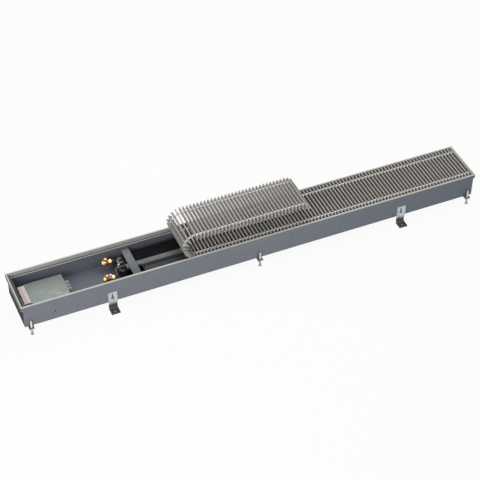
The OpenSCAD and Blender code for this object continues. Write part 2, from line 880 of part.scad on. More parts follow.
// Motor between the wheels, with cooling ribs and a foot on the trench floor
module fan_motor() {
    x = wheel_1_x + wheel_l + motor_gap;
    color("gray") difference() {
        union() {
            rod_x(x, fan_y, fan_z, motor_l, motor_d - motor_rib_d);
            for (k = [1 : motor_rib_count]) translate([x + motor_l / 8, fan_y, fan_z])
                rotate([k * 360 / motor_rib_count, 0, 0])
                    translate([0, -motor_rib_d / 4, 0]) cube([motor_l * 3 / 4, motor_rib_d / 2, motor_d / 2]);
            box(x + motor_l / 4, fan_y - motor_foot_w / 2, floor_z, motor_l / 2, motor_foot_w,
                fan_z - motor_d / 4 - floor_z);
        }
        rod_x(x - cut, fan_y, fan_z, motor_l + 2 * cut, shaft_d + 2 * turn_play);
    }
}

// Bearing sleeves in the housings' end plates
module fan_bearings() {
    l = wheel_l + 2 * housing_end - housing_plate_t;
    color("black") for (x = [wheel_1_x, wheel_2_x]) for (e = [0, l])
        translate([x - housing_end + e + (housing_plate_t - bearing_l) / 2, fan_y, fan_z])
            rotate([0, 90, 0]) difference() {
                cylinder(h = bearing_l, d = bearing_d);
                translate([0, 0, -cut]) cylinder(h = bearing_l + 2 * cut, d = shaft_d + 2 * turn_play);
            }
}

// The shape at the box's corners, in from its walls
module box_corners() {
    for (x = [box_x + post_inset, box_x + box_l - post_inset])
        for (side = [-1, 1]) translate([x, box_y + side * (box_w / 2 - post_inset), 0]) children();
}

// Open sheet box with screw posts
module control_box() {
    h = box_h - box_t;
    color("darkgray") difference() {
        union() {
            difference() {
                box(box_x, box_y - box_w / 2, floor_z, box_l, box_w, h);
                box(box_x + box_t, box_y - box_w / 2 + box_t, floor_z + box_t, box_l - 2 * box_t,
                    box_w - 2 * box_t, h);
            }
            box_corners() rod_z(0, 0, floor_z, h, post_d);
        }
        box_corners() rod_z(0, 0, floor_z + h / 2, h, post_bore_d);
        each_gland() rod_x(-box_t - cut, 0, 0, box_t + 2 * cut, gland_bore_d);
    }
}

// Lid of the box with a skirt that hangs over its walls
module control_cover() {
    out = cover_gap + box_t;
    z = floor_z + box_h - box_t;
    color("darkgray") difference() {
        box(box_x - out, box_y - box_w / 2 - out, z - cover_skirt, box_l + 2 * out, box_w + 2 * out,
            cover_skirt + box_t);
        box(box_x - cover_gap, box_y - box_w / 2 - cover_gap, z - cover_skirt - cut,
            box_l + 2 * cover_gap, box_w + 2 * cover_gap, cover_skirt + cut);
        box_corners() rod_z(0, 0, z - cut, box_t + 2 * cut, post_bore_d + 2 * slip_play);
    }
}

// Cross-slotted screws of the lid
module cover_screws() {
    z = floor_z + box_h;
    color(zinc) box_corners() difference() {
        union() {
            rod_z(0, 0, z - cover_skirt, cover_skirt, post_bore_d - 2 * turn_play);
            translate([0, 0, z]) cylinder(h = post_bore_d / 2, d1 = 2 * post_bore_d, d2 = post_bore_d);
        }
        for (a = [0, 90]) rotate([0, 0, a]) translate([-post_bore_d / 2, -vent_slot_w / 2, z + post_bore_d / 4])
            cube([post_bore_d, vent_slot_w, post_bore_d]);
    }
}

// Controller board with its relays, transformer and capacitor
module control_board() {
    z = floor_z + board_lift;
    color("darkgreen") {
        box(box_x + board_margin, box_y - box_w / 2 + board_margin, z, box_l - 2 * board_margin,
            box_w - 2 * board_margin, board_t);
        for (side = [-1, 1]) rod_z(box_x + box_l / 2, box_y + side * box_w / 4, floor_z + box_t,
            board_lift - box_t, post_d);
        for (k = [0, 1]) translate([box_x + box_l / 4, box_y + k * 3 / 2 * relay_size[1], z + board_t])
            cube(relay_size);
        translate([box_x + box_l / 2, box_y - box_w / 4, z + board_t]) cube(transformer_size);
        rod_z(box_x + box_l / 3, box_y - box_w / 4, z + board_t, capacitor_h, capacitor_d);
    }
}

// The shape at every cable gland, on the box's wall towards the valves
module each_gland() {
    for (k = [0 : gland_count - 1])
        translate([box_x + box_l, gland_first_y + k * gland_pitch, floor_z + gland_lift]) children();
}

// Cable glands: body, hexagon and bore
module cable_glands() {
    color("gray") each_gland() rotate([0, 90, 0]) difference() {
        union() {
            cylinder(h = gland_nut_l, d = hex_d(gland_nut_flats), $fn = 6);
            translate([0, 0, gland_nut_l]) cylinder(h = gland_l, d1 = gland_d, d2 = gland_d * 3 / 4);
        }
        translate([0, 0, -cut]) cylinder(h = gland_nut_l + gland_l + 2 * cut, d = gland_bore_d);
    }
}

// Moulded block of supply terminals beside the box
module terminal_block() {
    x = box_x - terminal_l - terminal_gap;
    y = box_y - box_w / 2 + terminal_notch;
    step = (terminal_w - 2 * terminal_wall) / terminal_count;
    color("wheat") difference() {
        box(x, y, floor_z, terminal_l, terminal_w, terminal_h);
        for (k = [0 : terminal_count - 1]) translate([x, y + terminal_wall + (k + 0.5) * step, floor_z]) {
            rod_z(terminal_l / 4, 0, terminal_h - terminal_depth, terminal_depth + cut, terminal_screw_d);
            rod_x(-cut, 0, terminal_h / 2, terminal_l / 3, terminal_wire_d);
        }
        box(x + terminal_l / 4, y - cut, floor_z + terminal_h - terminal_depth / 2, terminal_l / 2,
            terminal_notch / 2 + cut, terminal_depth);
    }
}

// Cross-section of a bar, its link at the origin
module bar_outline() {
    low = -bar_h / 2;
    translate([-bar_t / 2, low]) square([bar_t, bar_h - bar_edge_r]);
    translate([-bar_t / 2 + bar_edge_r, low]) square([bar_t - 2 * bar_edge_r, bar_h]);
    for (side = [-1, 1])
        translate([side * (bar_t / 2 - bar_edge_r), bar_h / 2 - bar_edge_r]) circle(r = bar_edge_r);
}

// Grille bar with the two bores for the links
module bar() {
    difference() {
        translate([0, bar_l / 2, 0]) rotate([90, 0, 0]) linear_extrude(bar_l) bar_outline();
        for (side = [-1, 1])
            rod_x(-bar_t / 2 - cut, side * link_y, 0, bar_t + 2 * cut, bore_d);
    }
}

// Outline of one spacer sleeve from x to x + l, as radius and place
function sleeve(x, l) = [
    [link_wire_d / 2, x], [sleeve_end_r, x], [sleeve_d / 2, x + sleeve_chamfer],
    [sleeve_d / 2, x + l - sleeve_chamfer], [sleeve_end_r, x + l], [link_wire_d / 2, x + l]];

// Wire with sleeves through a run of bars; its end sleeves have the lengths given, or none
module link_chain(count, first_l, last_l) {
    reach = bar_t / 2 + sleeve_gap;
    l = bar_pitch - bar_t - 2 * sleeve_gap;
    last = (count - 1) * bar_pitch;
    low = -bar_t / 2 - first_l;
    high = last + bar_t / 2 + last_l;
    start = first_l > 0 ? sleeve(low, first_l - sleeve_gap) : [[link_wire_d / 2, low]];
    end = last_l > 0 ? sleeve(last + reach, last_l - sleeve_gap) : [[link_wire_d / 2, high]];
    middle = count > 1 ? [for (i = [0 : count - 2]) each sleeve(i * bar_pitch + reach, l)] : [];
    rotate([0, 90, 0]) rotate_extrude()
        polygon(concat([[0, low]], start, middle, end, [[0, high]]));
}

// Both links of a run of bars
module links(count, first_l, last_l) {
    for (side = [-1, 1]) translate([0, side * link_y, 0]) link_chain(count, first_l, last_l);
}

// Bars of the laid part
module laid_bars() {
    color(aluminium) for (i = [0 : laid_count - 1]) translate([turn_x + i * bar_pitch, 0, link_z]) bar();
}

// Links of the laid part
module laid_links() { color("gainsboro") translate([turn_x, 0, link_z]) links(laid_count, fold_stub_l, 0); }

// The shape turned about the fold's axis, from the laid part at 0 to the flap at 180
module at_turn(angle) {
    translate([turn_x, 0, turn_z]) rotate([0, angle, 0]) translate([0, 0, -fold_r]) children();
}

// One bar of the turn with its own sleeves
module fold_bar(k) {
    color(aluminium) at_turn(k * fold_step) {
        bar();
        links(1, fold_stub_l, fold_stub_l);
    }
}
module fold_bar_1() { fold_bar(1); }
module fold_bar_2() { fold_bar(2); }
module fold_bar_3() { fold_bar(3); }
module fold_bar_4() { fold_bar(4); }
module fold_bar_5() { fold_bar(5); }
module fold_bar_6() { fold_bar(6); }
module fold_bar_7() { fold_bar(7); }
module fold_bar_8() { fold_bar(8); }

// The shape at every drooping bar of the free end
module each_droop() {
    for (j = [1 : droop_count]) translate([flap_end_x, 0, flap_z - droop_r])
        rotate([0, 180 + j * droop_step, 0]) translate([0, 0, -droop_r]) children();
}

// Bars of the flap that lies folded over
module flap_bars() {
    color(aluminium) {
        for (i = [0 : flap_count - 1])
            translate([turn_x + i * bar_pitch, 0, flap_z]) rotate([0, 180, 0]) bar();
        each_droop() bar();
    }
}

// Links of the flap
module flap_links() {
    color("gainsboro") {
        translate([turn_x, 0, flap_z]) links(flap_count, fold_stub_l, droop_stub_l);
        each_droop() links(1, droop_stub_l, droop_stub_l);
    }
}

// The shape at the four floor brackets, drawn for the front
module each_bracket() {
    both_sides() for (x = [bracket_first_x, bracket_last_x]) translate([x, front_y, 0]) children();
}

// Side view of a bracket: top lip, plate against the wall, round bend and foot
module bracket_profile() {
    bend_z = foot_pad_t + bracket_t + bracket_bend_r;
    bend_y = -bracket_t - bracket_bend_r;
    outer_r = bracket_bend_r + bracket_t;
    translate([-bracket_t, bend_z]) square([bracket_t, bracket_h - bend_z]);
    translate([-bracket_lip, bracket_h - bracket_t]) square([bracket_lip, bracket_t]);
    translate([-bracket_foot, foot_pad_t]) square([bracket_foot + bend_y, bracket_t]);
    translate([bend_y, bend_z]) intersection() {
        difference() {
            circle(r = outer_r);
            circle(r = bracket_bend_r);
        }
        translate([0, -outer_r]) square(outer_r);
    }
}

// Side view of a bracket's flange, its ends run out at a slant
module flange_profile() {
    low = ground_gap - bracket_flange;
    polygon([[0, low], [-bracket_flange, low + bracket_flange],
        [-bracket_flange, bracket_h - bracket_flange], [-bracket_t, bracket_h], [0, bracket_h]]);
}

// Bent bracket with a long slot, side flanges and a foot with an anchor hole
module floor_brackets() {
    color(zinc) each_bracket() difference() {
        union() {
            translate([-bracket_w / 2, 0, 0]) rotate([90, 0, 90]) linear_extrude(bracket_w)
                bracket_profile();
            for (side = [-1, 1]) translate([side * (bracket_w - bracket_t) / 2 - bracket_t / 2, 0, 0])
                rotate([90, 0, 90]) linear_extrude(bracket_t) flange_profile();
        }
        for (z = [slot_lift, slot_lift + slot_h - slot_w])
            rod_y(0, -bracket_t - cut, z, bracket_t + 2 * cut, slot_w);
        box(-slot_w / 2, -bracket_t - cut, slot_lift, slot_w, bracket_t + 2 * cut, slot_h - slot_w);
        rod_z(0, -anchor_off, foot_pad_t - cut, bracket_t + 2 * cut, anchor_d);
    }
}

// Bolt, washer and nut of every bracket
module bracket_bolts() {
    grip = bracket_t + sheet_t;
    color(zinc) each_bracket() translate([0, 0, bolt_z]) {
        rod_y(0, -bracket_t - washer_t, 0, washer_t, washer_d);
        translate([0, -bracket_t - washer_t, 0]) rotate([90, 0, 0])
            cylinder(h = bolt_head_h, d = hex_d(bolt_head_flats), $fn = 6);
        rod_y(0, -bracket_t - washer_t, 0, washer_t + grip + bolt_head_h + washer_t, bolt_d);
        translate([0, sheet_t, 0]) rotate([-90, 0, 0])
            cylinder(h = bolt_head_h, d = hex_d(bolt_head_flats), $fn = 6);
    }
}

// Rubber pads under the brackets' feet, open under the anchor holes
module bracket_pads() {
    color("black") each_bracket() difference() {
        box(-bracket_w / 2, -bracket_foot, 0, bracket_w, bracket_foot, foot_pad_t);
        rod_z(0, -anchor_off, -cut, foot_pad_t + 2 * cut, anchor_d);
    }
}

function screw_places() = [from_left(screw_inset), 0, trench_l / 2 - screw_inset];

// Lugs under the trench's edge that the adjusting screws turn in
module screw_lugs() {
    color("dimgray") both_sides() for (x = screw_places()) difference() {
        union() {
            box(x - lug_w / 2, front_y - lug_reach, ground_gap - lug_t, lug_w, lug_root + lug_reach, lug_t);
            for (side = [-1, 1]) box(x + side * (lug_w - lug_flange_t) / 2 - lug_flange_t / 2,
                front_y - lug_reach, ground_gap - lug_h, lug_flange_t, lug_root + lug_reach, lug_h);
        }
        rod_z(x, front_y - screw_off, ground_gap - lug_t - cut, lug_t + 2 * cut, screw_d + 2 * turn_play);
    }
}

// Adjusting screw with a tapered foot and a lock nut under the lug
module levelling_screw(x, side) {
    color(zinc) translate([x, side * (trench_w / 2 + screw_off), 0]) difference() {
        union() {
            cylinder(h = pad_rim_h, d = pad_d);
            translate([0, 0, pad_rim_h]) cylinder(h = pad_h - pad_rim_h, d1 = pad_d, d2 = pad_neck_d);
            cylinder(h = screw_l, d = screw_d);
            translate([0, 0, ground_gap - lug_t - lock_nut_h - rest_gap])
                cylinder(h = lock_nut_h, d = hex_d(lock_nut_flats), $fn = 6);
        }
        translate([-screw_d, -vent_slot_w / 2, screw_l - 2 * vent_slot_w])
            cube([2 * screw_d, vent_slot_w, screw_d]);
    }
}
module levelling_screw_1() { levelling_screw(screw_places()[0], -1); }
module levelling_screw_2() { levelling_screw(screw_places()[1], -1); }
module levelling_screw_3() { levelling_screw(screw_places()[2], -1); }
module levelling_screw_4() { levelling_screw(screw_places()[0], 1); }
module levelling_screw_5() { levelling_screw(screw_places()[1], 1); }
module levelling_screw_6() { levelling_screw(screw_places()[2], 1); }

floor_pan();
front_wall();
rear_wall();
left_end_plate();
right_end_plate();
frame_sides();
frame_ends();
grille_ledges();
damping_strips();
wall_rivets();
cross_braces();
centre_rail();
exchanger_fins();
exchanger_tubes();
exchanger_end_plates();
return_bends();
supply_pipe();
return_pipe();
supply_valve();
return_valve();
union_nuts();
supply_valve_cap();
return_valve_cap();
vent_seats();
vent_screw();
fan_housing();
fan_guard();
fan_wheels();
fan_shaft();
fan_motor();
fan_bearings();
control_box();
control_cover();
cover_screws();
control_board();
cable_glands();
terminal_block();
laid_bars();
laid_links();
fold_bar_1();
fold_bar_2();
fold_bar_3();
fold_bar_4();
fold_bar_5();
fold_bar_6();
fold_bar_7();
fold_bar_8();
flap_bars();
flap_links();
floor_brackets();
bracket_bolts();
bracket_pads();
screw_lugs();
levelling_screw_1();
levelling_screw_2();
levelling_screw_3();
levelling_screw_4();
levelling_screw_5();
levelling_screw_6();
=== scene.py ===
"""Dressed model of a trench convector heater whose roll-up grille is folded back.

Every size is in metres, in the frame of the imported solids: X runs along the trench,
the connections are at -X, the fan's side is -Y, and Z is up from the floor.
"""
import json
import logging
import math
from collections.abc import Callable, Sequence
from dataclasses import dataclass
from enum import Enum

import bmesh
import bpy
from mathutils import Matrix, Vector


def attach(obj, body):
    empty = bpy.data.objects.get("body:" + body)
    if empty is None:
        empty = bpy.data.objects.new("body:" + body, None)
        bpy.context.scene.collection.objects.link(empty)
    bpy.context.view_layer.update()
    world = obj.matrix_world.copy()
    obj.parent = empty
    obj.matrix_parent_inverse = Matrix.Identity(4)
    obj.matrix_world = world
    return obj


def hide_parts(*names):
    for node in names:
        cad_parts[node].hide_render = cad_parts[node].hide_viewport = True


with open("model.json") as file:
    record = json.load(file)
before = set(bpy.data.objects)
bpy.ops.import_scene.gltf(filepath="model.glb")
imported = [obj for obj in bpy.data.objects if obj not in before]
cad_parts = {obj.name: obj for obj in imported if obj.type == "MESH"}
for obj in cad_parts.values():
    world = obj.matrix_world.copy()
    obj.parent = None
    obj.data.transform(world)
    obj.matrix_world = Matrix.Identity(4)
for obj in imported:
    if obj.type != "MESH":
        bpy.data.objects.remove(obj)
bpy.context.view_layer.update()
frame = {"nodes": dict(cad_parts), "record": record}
log = logging.getLogger("trench_heater")

Colour = tuple[float, float, float]
Point = tuple[float, float, float]
Pair = tuple[float, float]
Hexagon = tuple[float, float, float]  # width over flats, underside and top
ScrewSlot = tuple[float, float, float, float]  # the head's radius, floor, top and width
Outline = Sequence[Pair]  # corners, or radius and height of a turned form
Socket = bpy.types.NodeSocket
TURN = 2 * math.pi
LEFT, RIGHT, UP = Vector((-1, 0, 0)), Vector((1, 0, 0)), Vector((0, 0, 1))
SIDES = ((-1.0, "-Y"), (1.0, "+Y"))


class Texture(Enum):
    """Ways in which a surface varies."""

    BRUSHED = "brushed"
    SPANGLE = "spangle"
    CAST = "cast"
    PAINT = "paint"
    MOULDED = "moulded"
    SHEET = "painted sheet"


@dataclass(frozen=True)
class Finish:
    """A surface finish: its colours, its gloss, how it varies and where shade is painted on it."""

    colour: Colour
    worn: Colour
    texture: Texture
    metallic: float = 0.0
    roughness: float = 0.5
    spread: float = 0.15
    scale: float = 60.0
    stretch: Point = (1.0, 1.0, 1.0)
    amount: float = 0.5
    bump: float = 0.1
    bump_height: float = 0.0002
    coat: float = 0.0
    specular: float = 0.5
    dust: float = 0.0
    # painted shade: a colour blended in along an axis, standing in for shade and light falling off
    painted_shade_colour: Colour | None = None
    painted_shade_axis: Point = (0.0, 0.0, 1.0)
    painted_shade_band: Pair = (0.0, 0.01)
    painted_shade_drift: float = 0.02


FINISHES: dict[str, Finish] = {
    # painted shade: the wall turns darker and bluer towards +X, where less light falls
    "wall_sheet": Finish((0.186, 0.204, 0.238), (0.165, 0.178, 0.207), Texture.SHEET,
                         roughness=0.42, scale=9, amount=0.6, coat=0.15, dust=0.1,
                         painted_shade_colour=(0.099, 0.120, 0.160), painted_shade_axis=(-1.0, 0.0, 0.0),
                         painted_shade_band=(-1.1, -0.05)),
    # painted shade: darker from x = -0.64 and near-black from x = -0.59 on, for the shade round
    # the tube bends
    "inner_sheet": Finish((0.16, 0.178, 0.225), (0.125, 0.142, 0.18), Texture.SHEET,
                          roughness=0.45, scale=9, amount=0.6, dust=0.1,
                          painted_shade_colour=(0.02, 0.022, 0.028), painted_shade_axis=(-1.0, 0.0, 0.0),
                          painted_shade_band=(0.59, 0.64)),
    # painted shade: the end sheet is near-black to stand for the shade on the trench's end face
    "end_sheet": Finish((0.022, 0.022, 0.03), (0.035, 0.035, 0.045), Texture.SHEET,
                        roughness=0.6, scale=12, amount=0.6, specular=0.12, dust=0.03),
    # painted shade: the outermost millimetre at the -X end, the rim's end face, turns near-black
    "frame_aluminium": Finish((0.58, 0.58, 0.54), (0.49, 0.49, 0.46), Texture.BRUSHED, 0.15, 0.4,
                              scale=240, stretch=(0.04, 1, 1), amount=0.5, bump=0.08,
                              painted_shade_colour=(0.03, 0.031, 0.04), painted_shade_axis=(1.0, 0.0, 0.0),
                              painted_shade_band=(-1.0499, -1.049), painted_shade_drift=0.0),
    "ledge_sheet": Finish((0.66, 0.7, 0.71), (0.55, 0.59, 0.6), Texture.SHEET,
                          roughness=0.42, scale=14),
    "damping_rubber": Finish((0.075, 0.077, 0.075), (0.095, 0.095, 0.092), Texture.MOULDED,
                             roughness=0.75, scale=600),
    "rivet_steel": Finish((0.10, 0.11, 0.125), (0.07, 0.075, 0.09), Texture.CAST, 0.4, 0.4,
                          scale=400),
    # painted shade: the braces darken towards the front wall (-Y)
    "brace_sheet": Finish((0.21, 0.228, 0.24), (0.16, 0.174, 0.186), Texture.SPANGLE, 0.3, 0.48,
                          scale=90, amount=0.7, dust=0.06, painted_shade_colour=(0.085, 0.092, 0.1),
                          painted_shade_axis=(0.0, 1.0, 0.0), painted_shade_band=(-0.1, 0.105)),
    "black_fins": Finish((0.010, 0.010, 0.013), (0.02, 0.02, 0.022), Texture.PAINT,
                         roughness=0.5, scale=40),
    "copper": Finish((0.05, 0.032, 0.025), (0.03, 0.02, 0.018), Texture.CAST, 0.6, 0.42, scale=60),
    # painted shade: the exchanger's end plates are near-black to stand for the shade behind the
    # brace
    "zinc_sheet": Finish((0.018, 0.018, 0.02), (0.03, 0.03, 0.033), Texture.PAINT,
                         roughness=0.5, scale=60),
    "black_tube": Finish((0.17, 0.175, 0.18), (0.11, 0.113, 0.118), Texture.PAINT,
                         roughness=0.36, scale=60, coat=0.2),
    "pipe": Finish((0.05, 0.046, 0.046), (0.03, 0.027, 0.027), Texture.PAINT,
                   roughness=0.36, scale=60, coat=0.15),
    "brass": Finish((0.90, 0.54, 0.25), (0.64, 0.34, 0.13), Texture.CAST, 1.0, 0.24,
                    scale=160, amount=0.6, bump=0.2),
    "brass_nut": Finish((0.93, 0.62, 0.33), (0.72, 0.42, 0.19), Texture.BRUSHED, 1.0, 0.2,
                        scale=300, stretch=(0.1, 1, 1), amount=0.5),
    "brass_cap": Finish((0.90, 0.54, 0.25), (0.66, 0.36, 0.14), Texture.CAST, 1.0, 0.26,
                        scale=200),
    "nickel": Finish((0.80, 0.79, 0.76), (0.6, 0.6, 0.58), Texture.CAST, 1.0, 0.18, scale=300),
    "nickel_screw": Finish((0.76, 0.75, 0.72), (0.56, 0.56, 0.54), Texture.CAST, 1.0, 0.2,
                           scale=300),
    "fan_sheet": Finish((0.012, 0.012, 0.015), (0.022, 0.022, 0.025), Texture.PAINT,
                        roughness=0.5, scale=20, dust=0.04),
    "guard_mesh": Finish((0.055, 0.055, 0.06), (0.035, 0.035, 0.04), Texture.PAINT,
                         roughness=0.5, scale=60),
    "wheel": Finish((0.30, 0.30, 0.31), (0.22, 0.22, 0.23), Texture.BRUSHED, 1.0, 0.4, scale=200),
    "shaft_steel": Finish((0.55, 0.55, 0.56), (0.42, 0.42, 0.43), Texture.BRUSHED, 1.0, 0.25,
                          scale=400, stretch=(1, 0.05, 0.05)),
    "motor_case": Finish((0.12, 0.125, 0.13), (0.09, 0.095, 0.1), Texture.CAST, 0.3, 0.5,
                         scale=200),
    "bearing_rubber": Finish((0.02, 0.02, 0.02), (0.03, 0.03, 0.03), Texture.MOULDED,
                             roughness=0.7, scale=500),
    "box_sheet": Finish((0.25, 0.28, 0.27), (0.20, 0.225, 0.22), Texture.SPANGLE, 0.5, 0.42,
                        scale=110, amount=0.5),
    "cover_sheet": Finish((0.29, 0.33, 0.305), (0.24, 0.27, 0.255), Texture.SPANGLE, 0.4, 0.4,
                          scale=60, amount=0.35, dust=0.1),
    "screw_steel": Finish((0.55, 0.55, 0.55), (0.4, 0.4, 0.4), Texture.CAST, 1.0, 0.3, scale=400),
    "board": Finish((0.02, 0.13, 0.05), (0.015, 0.09, 0.04), Texture.PAINT,
                    roughness=0.4, scale=80),
    "gland_plastic": Finish((0.42, 0.42, 0.415), (0.36, 0.36, 0.36), Texture.MOULDED,
                            roughness=0.38, scale=500),
    "terminal_plastic": Finish((0.856, 0.781, 0.735), (0.781, 0.707, 0.660), Texture.MOULDED,
                               roughness=0.4, scale=400),
    "bar_aluminium": Finish((0.44, 0.417, 0.386), (0.37, 0.35, 0.325), Texture.BRUSHED, 0.3, 0.46,
                            scale=260, stretch=(1, 0.03, 1), amount=0.6, bump=0.12),
    "link_sleeve": Finish((1.0, 0.99, 0.97), (0.94, 0.93, 0.91), Texture.MOULDED,
                          roughness=0.35, scale=500),
    # painted shade: the bracket's foot, below 3 to 5 cm, is near-black for the shade and dark
    # reflection there
    "bracket_zinc": Finish((0.704, 0.783, 0.801), (0.546, 0.616, 0.634), Texture.SPANGLE, 0.35,
                           0.36, scale=120, amount=0.6, painted_shade_colour=(0.075, 0.079, 0.083),
                           painted_shade_band=(0.03, 0.052)),
    "bolt_steel": Finish((0.30, 0.31, 0.32), (0.2, 0.2, 0.21), Texture.CAST, 1.0, 0.32, scale=400),
    "pad_rubber": Finish((0.012, 0.012, 0.012), (0.02, 0.02, 0.02), Texture.MOULDED,
                         roughness=0.8, scale=500),
    # painted shade: the whole lug is made dark for the shade under the trench's bottom edge
    "lug_steel": Finish((0.10, 0.115, 0.11), (0.06, 0.07, 0.068), Texture.SPANGLE,
                        roughness=0.45, scale=90),
    # painted shade: the screw turns darker below about 4 cm, under the lug and the trench
    "screw_zinc": Finish((0.66, 0.67, 0.68), (0.5, 0.51, 0.52), Texture.CAST, 0.7, 0.32, scale=300,
                         painted_shade_colour=(0.36, 0.36, 0.37), painted_shade_band=(0.034, 0.046)),
    "red_plastic": Finish((0.62, 0.16, 0.17), (0.52, 0.12, 0.13), Texture.MOULDED,
                          roughness=0.35, scale=400),
}


class Graph:
    """A tree of shader nodes that is wired up node by node."""

    def __init__(self, tree: bpy.types.NodeTree) -> None:
        """Starts on a tree."""
        self.tree = tree

    def feed(self, node: bpy.types.Node, inputs: dict) -> None:
        """Links the inputs that are given a socket, and sets the others to their value.

        Args:
            node: the node.
            inputs: values or sockets by the input's name or number.
        """
        for key, value in inputs.items():
            if isinstance(value, Socket):
                self.tree.links.new(value, node.inputs[key])
            else:
                node.inputs[key].default_value = value

    def add(self, kind: str, inputs: dict | None = None,
            **settings: str | bool | bpy.types.NodeTree) -> bpy.types.Node:
        """Adds a node.

        Args:
            kind: the node's type, without what all types begin with.
            inputs: values or sockets by the input's name or number.
            settings: the node's own settings.

        Returns:
            The node.
        """
        node = self.tree.nodes.new(f"ShaderNode{kind}")
        for name, value in settings.items():
            setattr(node, name, value)
        self.feed(node, inputs or {})
        return node

    def maths(self, operation: str, *values: float | Socket, clamp: bool = False) -> Socket:
        """Gives what an operation makes of values or sockets."""
        return self.add("Math", dict(enumerate(values)), operation=operation,
                        use_clamp=clamp).outputs[0]

    def noise(self, vector: Socket, scale: float | Socket, detail: float) -> Socket:
        """Gives the level of a noise at a place."""
        return self.add("TexNoise", {"Vector": vector, "Scale": scale,
                                     "Detail": detail}).outputs["Fac"]

    def level(self, value: Socket, low: float | Socket, high: float | Socket) -> Socket:
        """Gives how far a value is from low to high, from zero to one."""
        return self.add("MapRange", {"Value": value, "From Min": low,
                                     "From Max": high}).outputs["Result"]

    def blend(self, share: Socket, first: Socket, second: Socket) -> Socket:
        """Gives a blend of two colours."""
        return self.add("Mix", {"Factor": share, 6: first, 7: second}, data_type="RGBA").outputs[2]


